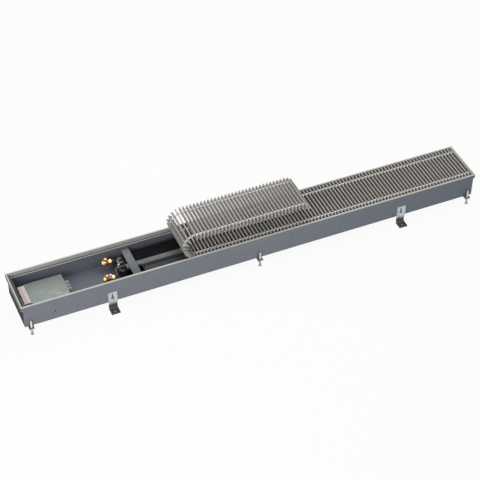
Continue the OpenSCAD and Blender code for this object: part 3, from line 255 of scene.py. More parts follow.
class Workshop:
    """Builds the materials, each from its finish, with shared node groups."""

    grey: tuple[float, ...] = (0.5, 0.5, 0.5, 1.0)
    dust_grey: tuple[float, ...] = (0.42, 0.42, 0.42, 1.0)
    dust_scale: float = 14.0
    drift_scale: float = 90.0
    contrast_band: Pair = (0.3, 0.7)
    cell_share: float = 0.5
    streak_share: float = 0.4
    streak_stretch: Point = (14.0, 14.0, 1.5)
    fine_share: dict[Texture, float] = {Texture.PAINT: 60.0, Texture.SHEET: 60.0,
                                        Texture.CAST: 5.0}
    fine_share_else: float = 3.0

    def __init__(self) -> None:
        """Starts with no material made."""
        self.made: dict[str, bpy.types.Material] = {}
        self.groups: dict[str, bpy.types.ShaderNodeTree] = {}

    def _group(self, name: str, inputs: dict, outputs: tuple[str, ...], wire: Callable
               ) -> bpy.types.ShaderNodeTree:
        """Gives a shared node group.

        Args:
            name: the group's name.
            inputs: default values by name, three numbers for a vector and four for a colour.
            outputs: names of the outputs, of which Colour is a colour and the others are numbers.
            wire: gives what feeds each output, from the graph and the sockets of the inputs.

        Returns:
            The group's tree, made at its first use.
        """
        if name in self.groups:
            return self.groups[name]
        tree = bpy.data.node_groups.new(name, "ShaderNodeTree")
        for label, value in inputs.items():
            length = len(value) if isinstance(value, tuple) else 1
            kind = {1: "NodeSocketFloat", 3: "NodeSocketVector", 4: "NodeSocketColor"}[length]
            socket = tree.interface.new_socket(name=label, in_out="INPUT", socket_type=kind)
            socket.default_value = value
        for label in outputs:
            kind = "NodeSocketColor" if label == "Colour" else "NodeSocketFloat"
            tree.interface.new_socket(name=label, in_out="OUTPUT", socket_type=kind)
        start, end = tree.nodes.new("NodeGroupInput"), tree.nodes.new("NodeGroupOutput")
        graph = Graph(tree)
        graph.feed(end, wire(graph, start.outputs))
        self.groups[name] = tree
        return tree

    def variation(self, texture: Texture) -> bpy.types.ShaderNodeTree:
        """Gives the group that varies colour, roughness and height.

        Args:
            texture: the way in which they vary.

        Returns:
            The group's tree.
        """

        def wire(graph: Graph, given: bpy.types.bpy_prop_collection) -> dict:
            """Lays the texture's pattern between the fresh and the worn colour.

            Args:
                graph: the group's graph.
                given: the sockets of the group's inputs.

            Returns:
                What feeds each output, by its name.
            """
            place, scale = given["Vector"], given["Scale"]
            broad = graph.noise(place, scale, 3.0)
            fine_share = self.fine_share.get(texture, self.fine_share_else)
            fine = graph.noise(place, graph.maths("MULTIPLY", scale, fine_share), 2.0)
            pattern = broad
            if texture is Texture.SPANGLE:
                cells = graph.add("TexVoronoi", {"Vector": place, "Scale": scale})
                split = graph.add("SeparateColor", {"Color": cells.outputs["Color"]})
                pattern = graph.add("Mix", {"Factor": self.cell_share, 2: split.outputs["Red"],
                                            3: broad}).outputs[0]
            if texture is Texture.SHEET:
                streaks = graph.add("Mapping", {"Vector": place, "Scale": self.streak_stretch})
                drawn = graph.noise(streaks.outputs["Vector"], scale, 4.0)
                pattern = graph.add("Mix", {"Factor": self.streak_share, 2: broad,
                                            3: drawn}).outputs[0]
            contrast = graph.level(pattern, *self.contrast_band)
            share = graph.maths("MULTIPLY", contrast, given["Amount"])
            return {"Colour": graph.blend(share, given["Colour"], given["Worn"]),
                    "Roughness": graph.maths("MULTIPLY_ADD", contrast, given["Spread"],
                                             given["Roughness"]),
                    "Height": fine}

        return self._group(
            f"{texture.value} surface",
            {"Vector": (0.0, 0.0, 0.0), "Scale": 60.0, "Colour": self.grey, "Worn": self.grey,
             "Amount": 0.5, "Roughness": 0.5, "Spread": 0.15},
            ("Colour", "Roughness", "Height"), wire)

    def dusting(self) -> bpy.types.ShaderNodeTree:
        """Gives the group that lays thin dust on faces that look up.

        Returns:
            The group's tree.
        """

        def wire(graph: Graph, given: bpy.types.bpy_prop_collection) -> dict:
            """Lays the dust by the upward share of the normal.

            Args:
                graph: the group's graph.
                given: the sockets of the group's inputs.

            Returns:
                What feeds each output, by its name.
            """
            axes = graph.add("SeparateXYZ", {0: graph.add("NewGeometry").outputs["Normal"]})
            cloud = graph.noise(graph.add("TexCoord").outputs["Object"], self.dust_scale, 5.0)
            upward = graph.maths("MULTIPLY", axes.outputs["Z"], cloud, clamp=True)
            share = graph.maths("MULTIPLY", upward, given["Amount"])
            return {"Colour": graph.blend(share, given["Colour"], given["Dust"])}

        return self._group("settled dust", {"Colour": self.grey, "Dust": self.dust_grey,
                                            "Amount": 0.1}, ("Colour",), wire)

    def painted_shade_group(self) -> bpy.types.ShaderNodeTree:
        """Gives the group that paints shade on a part, blending it into the shade's colour along
        an axis.

        Returns:
            The group's tree.
        """

        def wire(graph: Graph, given: bpy.types.bpy_prop_collection) -> dict:
            """Blends by the reach along the axis, which drifts with a noise.

            Args:
                graph: the group's graph.
                given: the sockets of the group's inputs.

            Returns:
                What feeds each output, by its name.
            """
            place = graph.add("TexCoord").outputs["Object"]
            reach = graph.add("VectorMath", {0: place, 1: given["Axis"]}, operation="DOT_PRODUCT")
            drift = graph.maths("MULTIPLY_ADD", graph.noise(place, self.drift_scale, 4.0),
                                given["Drift"], reach.outputs["Value"])
            level = graph.level(drift, given["Low"], given["High"])
            return {"Colour": graph.blend(level, given["Shade"], given["Colour"])}

        return self._group("painted shade", {"Colour": self.grey, "Shade": self.grey,
                                           "Axis": (0.0, 0.0, 1.0), "Low": 0.0, "High": 0.01,
                                           "Drift": 0.02}, ("Colour",), wire)

    def material(self, slot: str) -> bpy.types.Material:
        """Gives the material of a slot.

        Args:
            slot: a name in FINISHES.

        Returns:
            The material, made at its first use.
        """
        if slot in self.made:
            return self.made[slot]
        finish = FINISHES[slot]
        material = bpy.data.materials.new(slot)
        material.use_nodes = True
        graph = Graph(material.node_tree)
        place = graph.add("TexCoord").outputs["Object"]
        mapping = graph.add("Mapping", {"Vector": place, "Scale": finish.stretch})
        vary = graph.add("Group", {
            "Vector": mapping.outputs["Vector"], "Scale": finish.scale,
            "Colour": (*finish.colour, 1.0), "Worn": (*finish.worn, 1.0),
            "Amount": finish.amount, "Roughness": finish.roughness, "Spread": finish.spread,
        }, node_tree=self.variation(finish.texture))
        colour = vary.outputs["Colour"]
        if finish.dust:
            dust = graph.add("Group", {"Colour": colour, "Amount": finish.dust},
                             node_tree=self.dusting())
            colour = dust.outputs["Colour"]
        # painted shade, blended in along the finish's axis
        if finish.painted_shade_colour is not None:
            low, high = finish.painted_shade_band
            zone = graph.add("Group", {
                "Colour": colour, "Shade": (*finish.painted_shade_colour, 1.0), "Axis": finish.painted_shade_axis,
                "Low": low, "High": high, "Drift": finish.painted_shade_drift}, node_tree=self.painted_shade_group())
            colour = zone.outputs["Colour"]
        relief = graph.add("Bump", {"Strength": finish.bump, "Distance": finish.bump_height,
                                    "Height": vary.outputs["Height"]})
        graph.feed(material.node_tree.nodes["Principled BSDF"], {
            "Metallic": finish.metallic, "Coat Weight": finish.coat,
            "Specular IOR Level": finish.specular, "Base Color": colour,
            "Roughness": vary.outputs["Roughness"], "Normal": relief.outputs["Normal"]})
        self.made[slot] = material
        return material

    def dress_solids(self) -> None:
        """Gives every carried-over solid the material of its slot."""
        for entry in frame["record"]["subparts"]:
            solid = frame["nodes"][entry["node"]]
            solid.data.materials.clear()
            solid.data.materials.append(self.material(entry["material_slot"]))
            log.info("dressed %s as %s", entry["node"], entry["material_slot"])


class Ends(Enum):
    """What becomes of the two ends of a skin."""

    OPEN = "open"
    CAPPED = "closed with a face each"
    JOINED = "joined to each other"


class Shape:
    """A mesh in the making, put together from turned, bent and extruded solids."""

    tiny: float = 1e-7
    fluted_share: float = 0.8
    least_corner: float = 0.0002
    bevel_profile: float = 0.6

    def __init__(self) -> None:
        """Starts with nothing in it."""
        self.mesh = bmesh.new()

    def lofted(self, rings: list[list[Vector]], ends: Ends = Ends.CAPPED) -> None:
        """Adds a skin over rings of points.

        Args:
            rings: the points of each ring, all of one number or a single one.
            ends: what becomes of its ends.
        """
        made = [[self.mesh.verts.new(point) for point in ring] for ring in rings]
        for low, high in zip(made, made[1:] + (made[:1] if ends is Ends.JOINED else [])):
            for k in range(max(len(low), len(high))):
                corners = dict.fromkeys((low[k % len(low)], low[(k + 1) % len(low)],
                                         high[(k + 1) % len(high)], high[k % len(high)]))
                if len(corners) > 2:
                    self.mesh.faces.new(tuple(corners))
        if ends is Ends.CAPPED:
            self.mesh.faces.new(made[0][::-1])
            self.mesh.faces.new(made[-1])

    @staticmethod
    def _round(radii: list[float], height: float, place: Matrix) -> list[Vector]:
        """Gives points at equal angles round the local Z axis.

        Args:
            radii: the radius of each point.
            height: their height.
            place: where the local Z axis goes.

        Returns:
            The points.
        """
        return [place @ Vector((r * math.cos(TURN * k / len(radii)),
                                r * math.sin(TURN * k / len(radii)), height))
                for k, r in enumerate(radii)]

    def turned(self, profile: Outline, place: Matrix, steps: int = 40, soft: float = 0.0,
               flutes: int = 0, depth: float = 0.0) -> None:
        """Adds a turned solid.

        Args:
            profile: radius and height pairs from one end to the other.
            place: where the local Z axis goes.
            steps: facets round the axis.
            soft: how far the profile's corners are rounded.
            flutes: number of grip flutes, or zero for none.
            depth: how deep the flutes are.
        """
        profile = rounded(profile, soft) if soft else profile
        widest = max(radius for radius, _ in profile)
        rings = []
        for radius, height in profile:
            cut = depth if radius > self.fluted_share * widest else 0.0
            radii = [radius - cut * max(0.0, math.cos(flutes * TURN * k / steps))
                     for k in range(steps)]
            rings.append(self._round(radii if radius > self.tiny else [0.0], height, place))
        self.lofted(rings, Ends.OPEN)

    def thread(self, radius: float, low: float, high: float, place: Matrix, pitch: float,
               depth: float, steps: int = 24) -> None:
        """Adds a rod with a screw thread that runs out at its top.

        Args:
            radius: the crests' radius.
            low: height of the rod's start.
            high: height of the rod's end.
            place: where the local Z axis goes.
            pitch: height from crest to crest.
            depth: the thread's depth.
            steps: facets round the axis.
        """
        rows = int((high - low) / (pitch / 4)) + 1
        rings = []
        for height in (low + (high - low) * row / rows for row in range(rows + 1)):
            crest = radius - depth * (1 - min(1.0, (high - height) / pitch))
            waves = [abs(((height / pitch - k / steps) % 1.0) * 2 - 1) for k in range(steps)]
            rings.append(self._round([crest - depth * wave for wave in waves], height, place))
        self.lofted(rings)

    def prism(self, flats: float, low: float, high: float, place: Matrix,
              chamfer: float = 0.0007) -> None:
        """Adds a nut-like hexagon whose corners are turned down at both ends.

        Args:
            flats: width over flats.
            low: height of its underside.
            high: height of its top.
            place: where the local Z axis goes.
            chamfer: height of the turned corners.
        """
        side, steps, inner = TURN / 6, 36, flats / 2
        radii = [inner / math.cos((TURN * k / steps) % side - side / 2) for k in range(steps)]
        self.lofted([self._round([min(r, limit) for r in radii], height, place)
                     for height, limit in ((low, inner), (low + chamfer, flats),
                                           (high - chamfer, flats), (high, inner))])

    def extruded(self, outline: Outline, low: float, high: float, place: Matrix) -> None:
        """Adds an outline, its corners in order, drawn out from low to high along local Z."""
        self.lofted([[place @ Vector((x, y, height)) for x, y in outline]
                     for height in (low, high)])

    def slotted(self, radius: float, low: float, high: float, slot: float, place: Matrix,
                crossed: bool = False) -> None:
        """Adds the top of a screw's head, parted by a slot or a cross.

        Args:
            radius: the head's radius.
            low: the slot's floor.
            high: the head's top.
            slot: width of the slot.
            place: where the local Z axis goes.
            crossed: whether a second slot crosses the first.
        """
        parts, runs = (4 if crossed else 2), 10
        first = math.asin(slot / 2 / radius)
        sweep = TURN / parts - 2 * first
        points = [(slot / 2, slot / 2)] if crossed else []
        points += [(radius * math.cos(first + sweep * i / runs),
                    radius * math.sin(first + sweep * i / runs)) for i in range(runs + 1)]
        for k in range(parts):
            self.extruded(points, low, high, place @ Matrix.Rotation(TURN * k / parts, 4, "Z"))

    def block(self, low: Point | Vector, high: Point | Vector, edge: float) -> None:
        """Adds a box with rounded edges.

        Args:
            low: lowest corner.
            high: highest corner.
            edge: how far the edges are rounded.
        """
        corners = bmesh.ops.create_cube(self.mesh, size=1.0)["verts"]
        bmesh.ops.scale(self.mesh, vec=Vector(high) - Vector(low), verts=corners)
        bmesh.ops.translate(self.mesh, vec=(Vector(high) + Vector(low)) / 2, verts=corners)
        edges = dict.fromkeys(side for corner in corners for side in corner.link_edges)
        bmesh.ops.bevel(self.mesh, geom=list(edges), offset=edge, segments=2,
                        profile=self.bevel_profile, affect="EDGES")

    def tube(self, path: list[Vector], radius: float, steps: int, bore: float) -> None:
        """Adds an open tube along a path.

        Args:
            path: the points of its centre line.
            radius: the outer radius.
            steps: facets round it.
            bore: the inner radius.
        """
        ahead = (path[1] - path[0]).normalized()
        side = ahead.orthogonal().normalized()
        outer, inner = [], []
        for k, point in enumerate(path):
            run = (path[min(k + 1, len(path) - 1)] - path[max(k - 1, 0)]).normalized()
            side = (ahead.rotation_difference(run) @ side).normalized()
            ahead, other = run, run.cross(side)
            for r, rings in ((radius, outer), (bore, inner)):
                rings.append([point + r * (math.cos(TURN * i / steps) * side
                                           + math.sin(TURN * i / steps) * other)
                              for i in range(steps)])
        self.lofted(outer + inner[::-1], Ends.JOINED)

    def tray(self, low: Point, high: Point, sheet: float, corner: float = 0.0015) -> None:
        """Adds a folded sheet lid, open below, with rounded bends.

        Args:
            low: lowest corner of the outside.
            high: highest corner of the outside.
            sheet: the sheet's thickness.
            corner: radius of the upright corners.
        """
        bend = [(sheet * (1 - math.cos(t)), high[2] - sheet * (1 - math.sin(t)))
                for t in (0.0, 0.4, 0.8, 1.2, TURN / 4)]
        rings = []
        for inset, height in [(sheet, high[2] - sheet), (sheet, low[2]), (0.0, low[2])] + bend:
            ring = []
            r = max(corner - inset, self.least_corner)
            x0, y0, x1, y1 = (low[0] + inset + r, low[1] + inset + r,
                              high[0] - inset - r, high[1] - inset - r)
            for k, (x, y) in enumerate(((x1, y1), (x0, y1), (x0, y0), (x1, y0))):
                ring += [Vector((x + r * math.cos(TURN / 4 * (k + i / 4)),
                                 y + r * math.sin(TURN / 4 * (k + i / 4)), height))
                         for i in range(5)]
            rings.append(ring)
        self.lofted(rings)

    def well(self, low: Point, high: Point, centre: Pair, radius: float,
             depth: float, edge: float = 0.0004) -> None:
        """Adds an upright block with a round well sunk into its top.

        Args:
            low: lowest corner.
            high: highest corner.
            centre: the well's place in plan.
            radius: the well's radius.
            depth: the well's depth.
            edge: how far the block's top edge is cut.
        """
        steps = 32
        ways = [(math.cos(TURN * k / steps), math.sin(TURN * k / steps)) for k in range(steps)]

        def rim(inset: float) -> Outline:
            """Gives the block's outline.

            Args:
                inset: how far it lies inside the block's faces.

            Returns:
                A point for each step round the well, the block's corners among them.
            """
            x0, y0, x1, y1 = low[0] + inset, low[1] + inset, high[0] - inset, high[1] - inset
            points = []
            for dx, dy in ways:
                runs = (((x1 if dx > 0 else x0) - centre[0], dx),
                        ((y1 if dy > 0 else y0) - centre[1], dy))
                reach = min(run / share for run, share in runs if abs(share) > self.tiny)
                points.append((centre[0] + dx * reach, centre[1] + dy * reach))
            for corner in ((x0, y0), (x1, y0), (x1, y1), (x0, y1)):
                points[min(range(steps), key=lambda k: math.dist(points[k], corner))] = corner
            return points

        circle = [(centre[0] + radius * dx, centre[1] + radius * dy) for dx, dy in ways]
        self.lofted([[Vector((x, y, z)) for x, y in outline] for outline, z in (
            (rim(0.0), low[2]), (rim(0.0), high[2] - edge), (rim(edge), high[2]),
            (circle, high[2]), (circle, high[2] - depth))])


def rounded(points: Outline, radius: float, steps: int = 4, share: float = 0.45
            ) -> list[Pair]:
    """Rounds the inner corners of an open outline.

    Args:
        points: the outline's corners.
        radius: the largest radius, cut to fit short runs.
        steps: points on each rounded corner, less one.
        share: how much of a run a corner may take at most.

    Returns:
        The outline with curves in place of its inner corners.
    """
    done = [points[0]]
    corners = [Vector(point) for point in points]
    for a, b, c in zip(corners, corners[1:], corners[2:]):
        if (a - b).length < Shape.tiny or (c - b).length < Shape.tiny:
            continue
        cut = min(radius, (a - b).length * share, (c - b).length * share)
        start, end = b + (a - b).normalized() * cut, b + (c - b).normalized() * cut
        for t in (k / steps for k in range(steps + 1)):
            point = (1 - t) ** 2 * start + 2 * t * (1 - t) * b + t ** 2 * end
            done.append((max(point.x, 0.0), point.y))
    return done + [points[-1]]


def lifted(outline: Outline, height: float) -> list[Pair]:
    """Gives a profile of radius and height pairs, moved up by a height."""
    return [(radius, low + height) for radius, low in outline]


def along(axis: str, at: Point | Vector) -> Matrix:
    """Gives the placement that turns local Z to an axis.

    Args:
        axis: one of "+X", "-X", "+Y", "-Y" and "+Z".
        at: the place of the local origin.

    Returns:
        The placement.
    """
    turns = {"+X": (TURN / 4, "Y"), "-X": (-TURN / 4, "Y"), "+Y": (-TURN / 4, "X"),
             "-Y": (TURN / 4, "X"), "+Z": (0.0, "Z")}
    angle, about = turns[axis]
    return Matrix.Translation(Vector(at)) @ Matrix.Rotation(angle, 4, about)


def arc(centre: Vector, first: Vector, second: Vector, sweep: float = TURN / 4,
        steps: int = 8) -> list[Vector]:
    """Gives the points of an arc.

    Args:
        centre: the arc's centre.
        first: from the centre to the arc's start.
        second: from the centre to where it is after a quarter turn.
        sweep: the angle that it turns through.
        steps: runs along it.

    Returns:
        The points, both ends among them.
    """
    return [centre + math.cos(sweep * k / steps) * first + math.sin(sweep * k / steps) * second
            for k in range(steps + 1)]


def in_scene(name: str, data: bpy.types.ID) -> bpy.types.Object:
    """Gives a new object that carries the data and is linked to the scene.

    Args:
        name: the object's name.
        data: a mesh, a lamp or a camera.

    Returns:
        The object.
    """
    made = bpy.data.objects.new(name, data)
    bpy.context.scene.collection.objects.link(made)
    return made


@dataclass
class Camera:
    """The photographer's view: a long lens that looks down on the trench."""

    target: Point = (0.0, 0.0, 0.152)
    azimuth: float = -24.747
    elevation: float = 42.542
    roll: float = 1.109
    distance: float = 6.3266
    focal_px: float = 1482.3
    frame_px: float = 480.0
    sensor_mm: float = 36.0
    offset_px: Pair = (9.42, -17.66)
    reach: float = 100.0

    def place(self) -> None:
        """Makes the camera and gives it to the scene."""
        a, e, r = (math.radians(v) for v in (self.azimuth, self.elevation, self.roll))
        back = Vector((math.sin(a) * math.cos(e), -math.cos(a) * math.cos(e), math.sin(e)))
        right = Vector((math.cos(a), math.sin(a), 0.0))
        up = back.cross(right)
        turn = Matrix((math.cos(r) * right + math.sin(r) * up,
                       math.cos(r) * up - math.sin(r) * right, back)).transposed().to_4x4()
        data = bpy.data.cameras.new("camera")
        data.sensor_width = self.sensor_mm
        data.lens = self.focal_px / self.frame_px * self.sensor_mm
        data.shift_x = -self.offset_px[0] / self.frame_px
        data.shift_y = self.offset_px[1] / self.frame_px
        data.clip_end = self.reach
        camera = in_scene("camera", data)
        camera.matrix_world = Matrix.Translation(Vector(self.target) + back * self.distance) @ turn
        bpy.context.scene.camera = camera


@dataclass
class Studio:
    """White floor, white surroundings and soft lamps."""

    floor_half: float = 20.0
    ambient: float = 0.38
    lamps: tuple[tuple[str, Point, float, float], ...] = (
        ("top_lamp", (0.3, 0.4, 3.6), 3.2, 62.0),
        ("front_lamp", (-3.3, -2.7, 1.9), 2.2, 67.0),
    )
    floor_colour: Colour = (0.86, 0.86, 0.86)
    floor_roughness: float = 0.9
    floor_glow: float = 0.93

    def _background(self) -> None:
        """Makes the world white where it is seen and softer where it lights."""
        world = bpy.data.worlds.new("surroundings")
        bpy.context.scene.world = world
        world.use_nodes = True
        graph = Graph(world.node_tree)
        level = graph.add("MapRange", {"To Min": self.ambient, "To Max": 1.0,
                                       "Value": self._seen_rays(graph)})
        graph.feed(world.node_tree.nodes["Background"], {
            "Color": (1.0, 1.0, 1.0, 1.0), "Strength": level.outputs["Result"]})

    @staticmethod
    def _seen_rays(graph: Graph) -> Socket:
        """Gives a value of one for camera, glossy and transmission rays.

        Args:
            graph: the graph of the floor's material or of the world.

        Returns:
            The socket that carries the value.
        """
        rays = graph.add("LightPath")
        total = rays.outputs["Is Camera Ray"]
        for name in ("Is Glossy Ray", "Is Transmission Ray"):
            total = graph.maths("MAXIMUM", total, rays.outputs[name])
        return total

    def _floor(self) -> None:
        """Makes the floor, which keeps the shadow and looks white."""
        mesh = bpy.data.meshes.new("floor")
        half = self.floor_half
        mesh.from_pydata([(-half, -half, 0), (half, -half, 0), (half, half, 0), (-half, half, 0)],
                         [], [(0, 1, 2, 3)])
        floor = in_scene("floor", mesh)
        material = bpy.data.materials.new("floor")
        material.use_nodes = True
        nodes = material.node_tree.nodes
        graph = Graph(material.node_tree)
        matt = nodes["Principled BSDF"]
        graph.feed(matt, {"Base Color": (*self.floor_colour, 1.0),
                          "Roughness": self.floor_roughness, "Specular IOR Level": 0.0})
        share = graph.maths("MULTIPLY", self._seen_rays(graph), self.floor_glow)
        mix = graph.add("MixShader", {0: share, 1: matt.outputs[0],
                                      2: graph.add("Emission").outputs[0]})
        graph.feed(nodes["Material Output"], {"Surface": mix.outputs[0]})
        mesh.materials.append(material)

    def _lamps(self) -> None:
        """Hangs the soft lamps, each turned to the trench's middle."""
        for name, place, size, watts in self.lamps:
            data = bpy.data.lights.new(name, "AREA")
            data.energy = watts
            data.size = size
            lamp = in_scene(name, data)
            lamp.location = place
            lamp.rotation_euler = (-Vector(place)).to_track_quat("-Z", "Y").to_euler()

    def build(self) -> None:
        """Builds the whole studio."""
        self._background()
        self._floor()
        self._lamps()
        bpy.context.scene.view_settings.view_transform = "Standard"


@dataclass
class Bench:
    """Turns shapes into finished pieces that ride on the bodies."""

    workshop: Workshop
    slots: frozenset[str] = frozenset(
        part["material_slot"] for part in frame["record"]["subparts"])
    count: int = 0

    def finish(self, shape: Shape, name: str, slot: str, body: str = "trench",
               stands_for: tuple[str, ...] = (), sharp: float = 35.0) -> None:
        """Makes a piece of a shape.

        Args:
            shape: the shape, freed here.
            name: the piece's name.
            slot: the finish that it takes.
            body: the body that it moves with.
            stands_for: the CAD nodes that it takes the place of.
            sharp: angle in degrees above which an edge stays sharp.
        """
        bmesh.ops.recalc_face_normals(shape.mesh, faces=shape.mesh.faces)
        mesh = bpy.data.meshes.new(name)
        shape.mesh.to_mesh(mesh)
        shape.mesh.free()
        mesh.shade_smooth()
        mesh.set_sharp_from_angle(angle=math.radians(sharp))
        mesh.materials.append(self.workshop.material(slot))
        piece = in_scene(name, mesh)
        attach(piece, body)
        if stands_for:
            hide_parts(*stands_for)
        self.count += 1
        log.info("made %s on %s, %d faces", name, body, len(mesh.polygons))


@dataclass
class Assembly:
    """A sub-assembly, whose pieces are finished on the bench."""

    bench: Bench

    def build(self) -> None:
        """Makes the pieces."""
        raise NotImplementedError


@dataclass
class TrenchBody(Assembly):
    """Rivets, damping strips and plugs on the trench's own sheets.

    A place on the front wall is its run past the end and its drop below the rim.
    """

    end: float = -1.05
    half_width: float = 0.1075
    rim: float = 0.152
    rivet_radius: float = 0.0025
    rivet_height: float = 0.0012
    rivet_dome: tuple[float, ...] = (0.0, 0.3, 0.6, 0.9, 1.2)
    rivet_foot: float = 0.25
    rivet_drop: float = 0.027
    rivet_pitch: float = 0.018
    brace_places: tuple[float, ...] = (-0.534, 0.168, 0.903)
    ledge_z: float = 0.1325
    strip: float = 0.0012
    strip_xs: tuple[float, ...] = (1.0475, 1.0388, 1.0305)
    strip_ys: Pair = (0.105, 0.093)
    plug_place: Pair = (0.189, 0.073)
    plug: Outline = ((0.0, -0.004), (0.0023, -0.004), (0.0023, 0.0), (0.0036, 0.0),
                     (0.0036, 0.0012), (0.0, 0.0014))
    grommet_place: Pair = (0.141, 0.07)
    grommet: Outline = ((0.0, -0.0045), (0.0042, -0.0045), (0.0042, -0.0018), (0.0029, -0.0016),
                        (0.0029, 0.0), (0.0035, 0.0), (0.0036, 0.0007), (0.0018, 0.0008),
                        (0.0014, -0.0008), (0.0, -0.001))
    seam_place: Pair = (0.236, 0.073)
    seam_low: tuple[Point, Point] = ((-0.004, 0.0015, -0.017), (-0.0006, 0.0004, -0.0135))
    seam_high: tuple[Point, Point] = ((0.004, 0.003, 0.017), (0.0006, 0.0018, 0.0135))
    seam_edges: Pair = (0.0006, 0.0002)

    def _on_front(self, place: Pair) -> Vector:
        """Gives the point of a place on the front wall."""
        return Vector((self.end + place[0], -self.half_width, self.rim - place[1]))

    def _rivets(self) -> None:
        """Makes the domed rivet heads of the braces on both walls."""
        radius, height = self.rivet_radius, self.rivet_height
        foot = self.rivet_foot
        dome = [(radius * math.cos(t), height * (foot + (1 - foot) * math.sin(t)))
                for t in self.rivet_dome]
        rivets = Shape()
        for side, axis in SIDES:
            for x in self.brace_places:
                for step in (-self.rivet_pitch / 2, self.rivet_pitch / 2):
                    point = (x + step, side * self.half_width, self.rim - self.rivet_drop)
                    rivets.turned([(radius, 0.0)] + dome + [(0.0, height)], along(axis, point), 24)
        self.bench.finish(rivets, "rivet_heads", "rivet_steel", stands_for=("wall_rivets",))

    def _end_strips(self) -> None:
        """Makes the damping strips on the ledges of both ends, dark so that they also paint in the
        end ledges' shade.
        """
        outer, middle, inner = self.strip_xs
        wide, narrow = self.strip_ys
        half = [(outer, wide), (middle, wide), (middle, narrow), (inner, narrow)]
        strips = Shape()
        for side in (-1.0, 1.0):
            outline = [(side * x, -y) for x, y in half] + [(side * x, y) for x, y in half[::-1]]
            strips.extruded(outline, self.ledge_z, self.ledge_z + self.strip, Matrix())
        # dark rubber: the strips also paint shade on the end ledges
        self.bench.finish(strips, "end_strips", "damping_rubber")

    def build(self) -> None:
        """Makes the rivets and the strips, and the plug, the grommet and the seam in front."""
        self._rivets()
        self._end_strips()
        for name, slot, place, profile, soft in (
                ("front_plug", "red_plastic", self.plug_place, self.plug, 0.0006),
                ("front_grommet", "pad_rubber", self.grommet_place, self.grommet, 0.0003)):
            shape = Shape()
            shape.turned(profile, along("-Y", self._on_front(place)), 28, soft)
            self.bench.finish(shape, name, slot)
        seam, middle = Shape(), self._on_front(self.seam_place)
        for low, high, edge in zip(self.seam_low, self.seam_high, self.seam_edges):
            seam.block(middle + Vector(low), middle + Vector(high), edge)
        self.bench.finish(seam, "seam_strip", "pad_rubber")


@dataclass
class Mounting(Assembly):
    """Bolts of the floor brackets, and the levelling screws with their lock nuts."""

    wall: float = 0.1075
    bracket_places: tuple[float, ...] = (-0.664, 0.682)
    bracket_sheet: float = 0.0025
    bolt_height: float = 0.185 / 3
    bolt_radius: float = 0.003
    bolt_flats: float = 0.01
    bolt_inside: tuple[float, ...] = (0.0015, 0.0055, 0.0067)  # nut's start and end, tip
    bolt_shank: float = 0.0045
    bolt_thread: Pair = (0.001, 0.0004)
    washer: Outline = ((0.003, 0.0), (0.007, 0.0), (0.007, 0.0012), (0.003, 0.0012))
    head: Pair = (0.0012, 0.0052)
    crown: Outline = ((0.0, 0.0048), (0.0036, 0.0048), (0.0038, 0.0052), (0.0, 0.00515))
    screw_places: tuple[float, ...] = (-1.017, 0.0, 1.017)
    screw_off: float = 0.009
    screw_radius: float = 0.004
    screw_length: float = 0.076
    screw_thread: Pair = (0.00125, 0.0007)
    screw_reach: Pair = (0.009, -0.0018)  # from the floor, and from the tip
    tip: Outline = ((0.0, -0.003), (0.0034, -0.003), (0.0034, -0.0016), (0.0, -0.0016))
    tip_slot: ScrewSlot = (0.0034, -0.0016, 0.0, 0.0009)
    foot: Outline = ((0.0, 0.0), (0.007, 0.0), (0.007, 0.002), (0.0058, 0.0052),
                     (0.0052, 0.0078), (0.0046, 0.0095), (0.0, 0.0095))
    nut: Pair = (0.0307, 0.0367)
    nut_flats: float = 0.013

    def _bolt(self, bolts: Shape, place: Matrix) -> None:
        """Adds a bolt with its washer and nut.

        Args:
            bolts: the shape that it is added to.
            place: the wall's outer face at the bolt, with local Z outwards.
        """
        face = place @ Matrix.Translation((0, 0, self.bracket_sheet))
        start, nut_end, end = self.bolt_inside
        bolts.turned(self.washer, face, 36, soft=0.0003)
        bolts.prism(self.bolt_flats, *self.head, face)
        bolts.turned(self.crown, face, 24)
        bolts.thread(self.bolt_radius, -end, -start, place @ Matrix.Rotation(TURN / 2, 4, "X")
                     @ Matrix.Translation((0, 0, start + end)), *self.bolt_thread)
        bolts.turned([(self.bolt_radius, -end), (self.bolt_radius, self.bolt_shank)], place, 24)
        bolts.prism(self.bolt_flats, -nut_end, -start, place)

    def _levelling(self, index: int, x: float, side: float) -> None:
        """Makes a levelling screw: foot, threaded rod, lock nut and slotted tip.

        Args:
            index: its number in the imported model.
            x: its place along the trench.
            side: minus one for the front, one for the rear.
        """
        screw = Shape()
        place = along("+Z", (x, side * (self.wall + self.screw_off), 0.0))
        top = place @ Matrix.Translation((0, 0, self.screw_length))
        start, end = self.screw_reach
        screw.turned(self.foot, place, 40, soft=0.001)
        screw.thread(self.screw_radius, start, self.screw_length + end, place,
                     *self.screw_thread)
        screw.turned(self.tip, top, 24)
        screw.slotted(*self.tip_slot, top)
        screw.prism(self.nut_flats, *self.nut, place, chamfer=0.0009)
        self.bench.finish(screw, f"levelling_foot_{index}", "screw_zinc", f"leveller_{index}",
                          (f"levelling_screw_{index}",))

    def build(self) -> None:
        """Makes the bolts and the six levelling screws."""
        bolts = Shape()
        for side, axis in SIDES:
            for x in self.bracket_places:
                self._bolt(bolts, along(axis, (x, side * self.wall, self.bolt_height)))
        self.bench.finish(bolts, "bracket_bolt_sets", "bolt_steel", stands_for=("bracket_bolts",))
        places = [(x, side) for side, _ in SIDES for x in self.screw_places]
        for index, (x, side) in enumerate(places):
            self._levelling(index + 1, x, side)


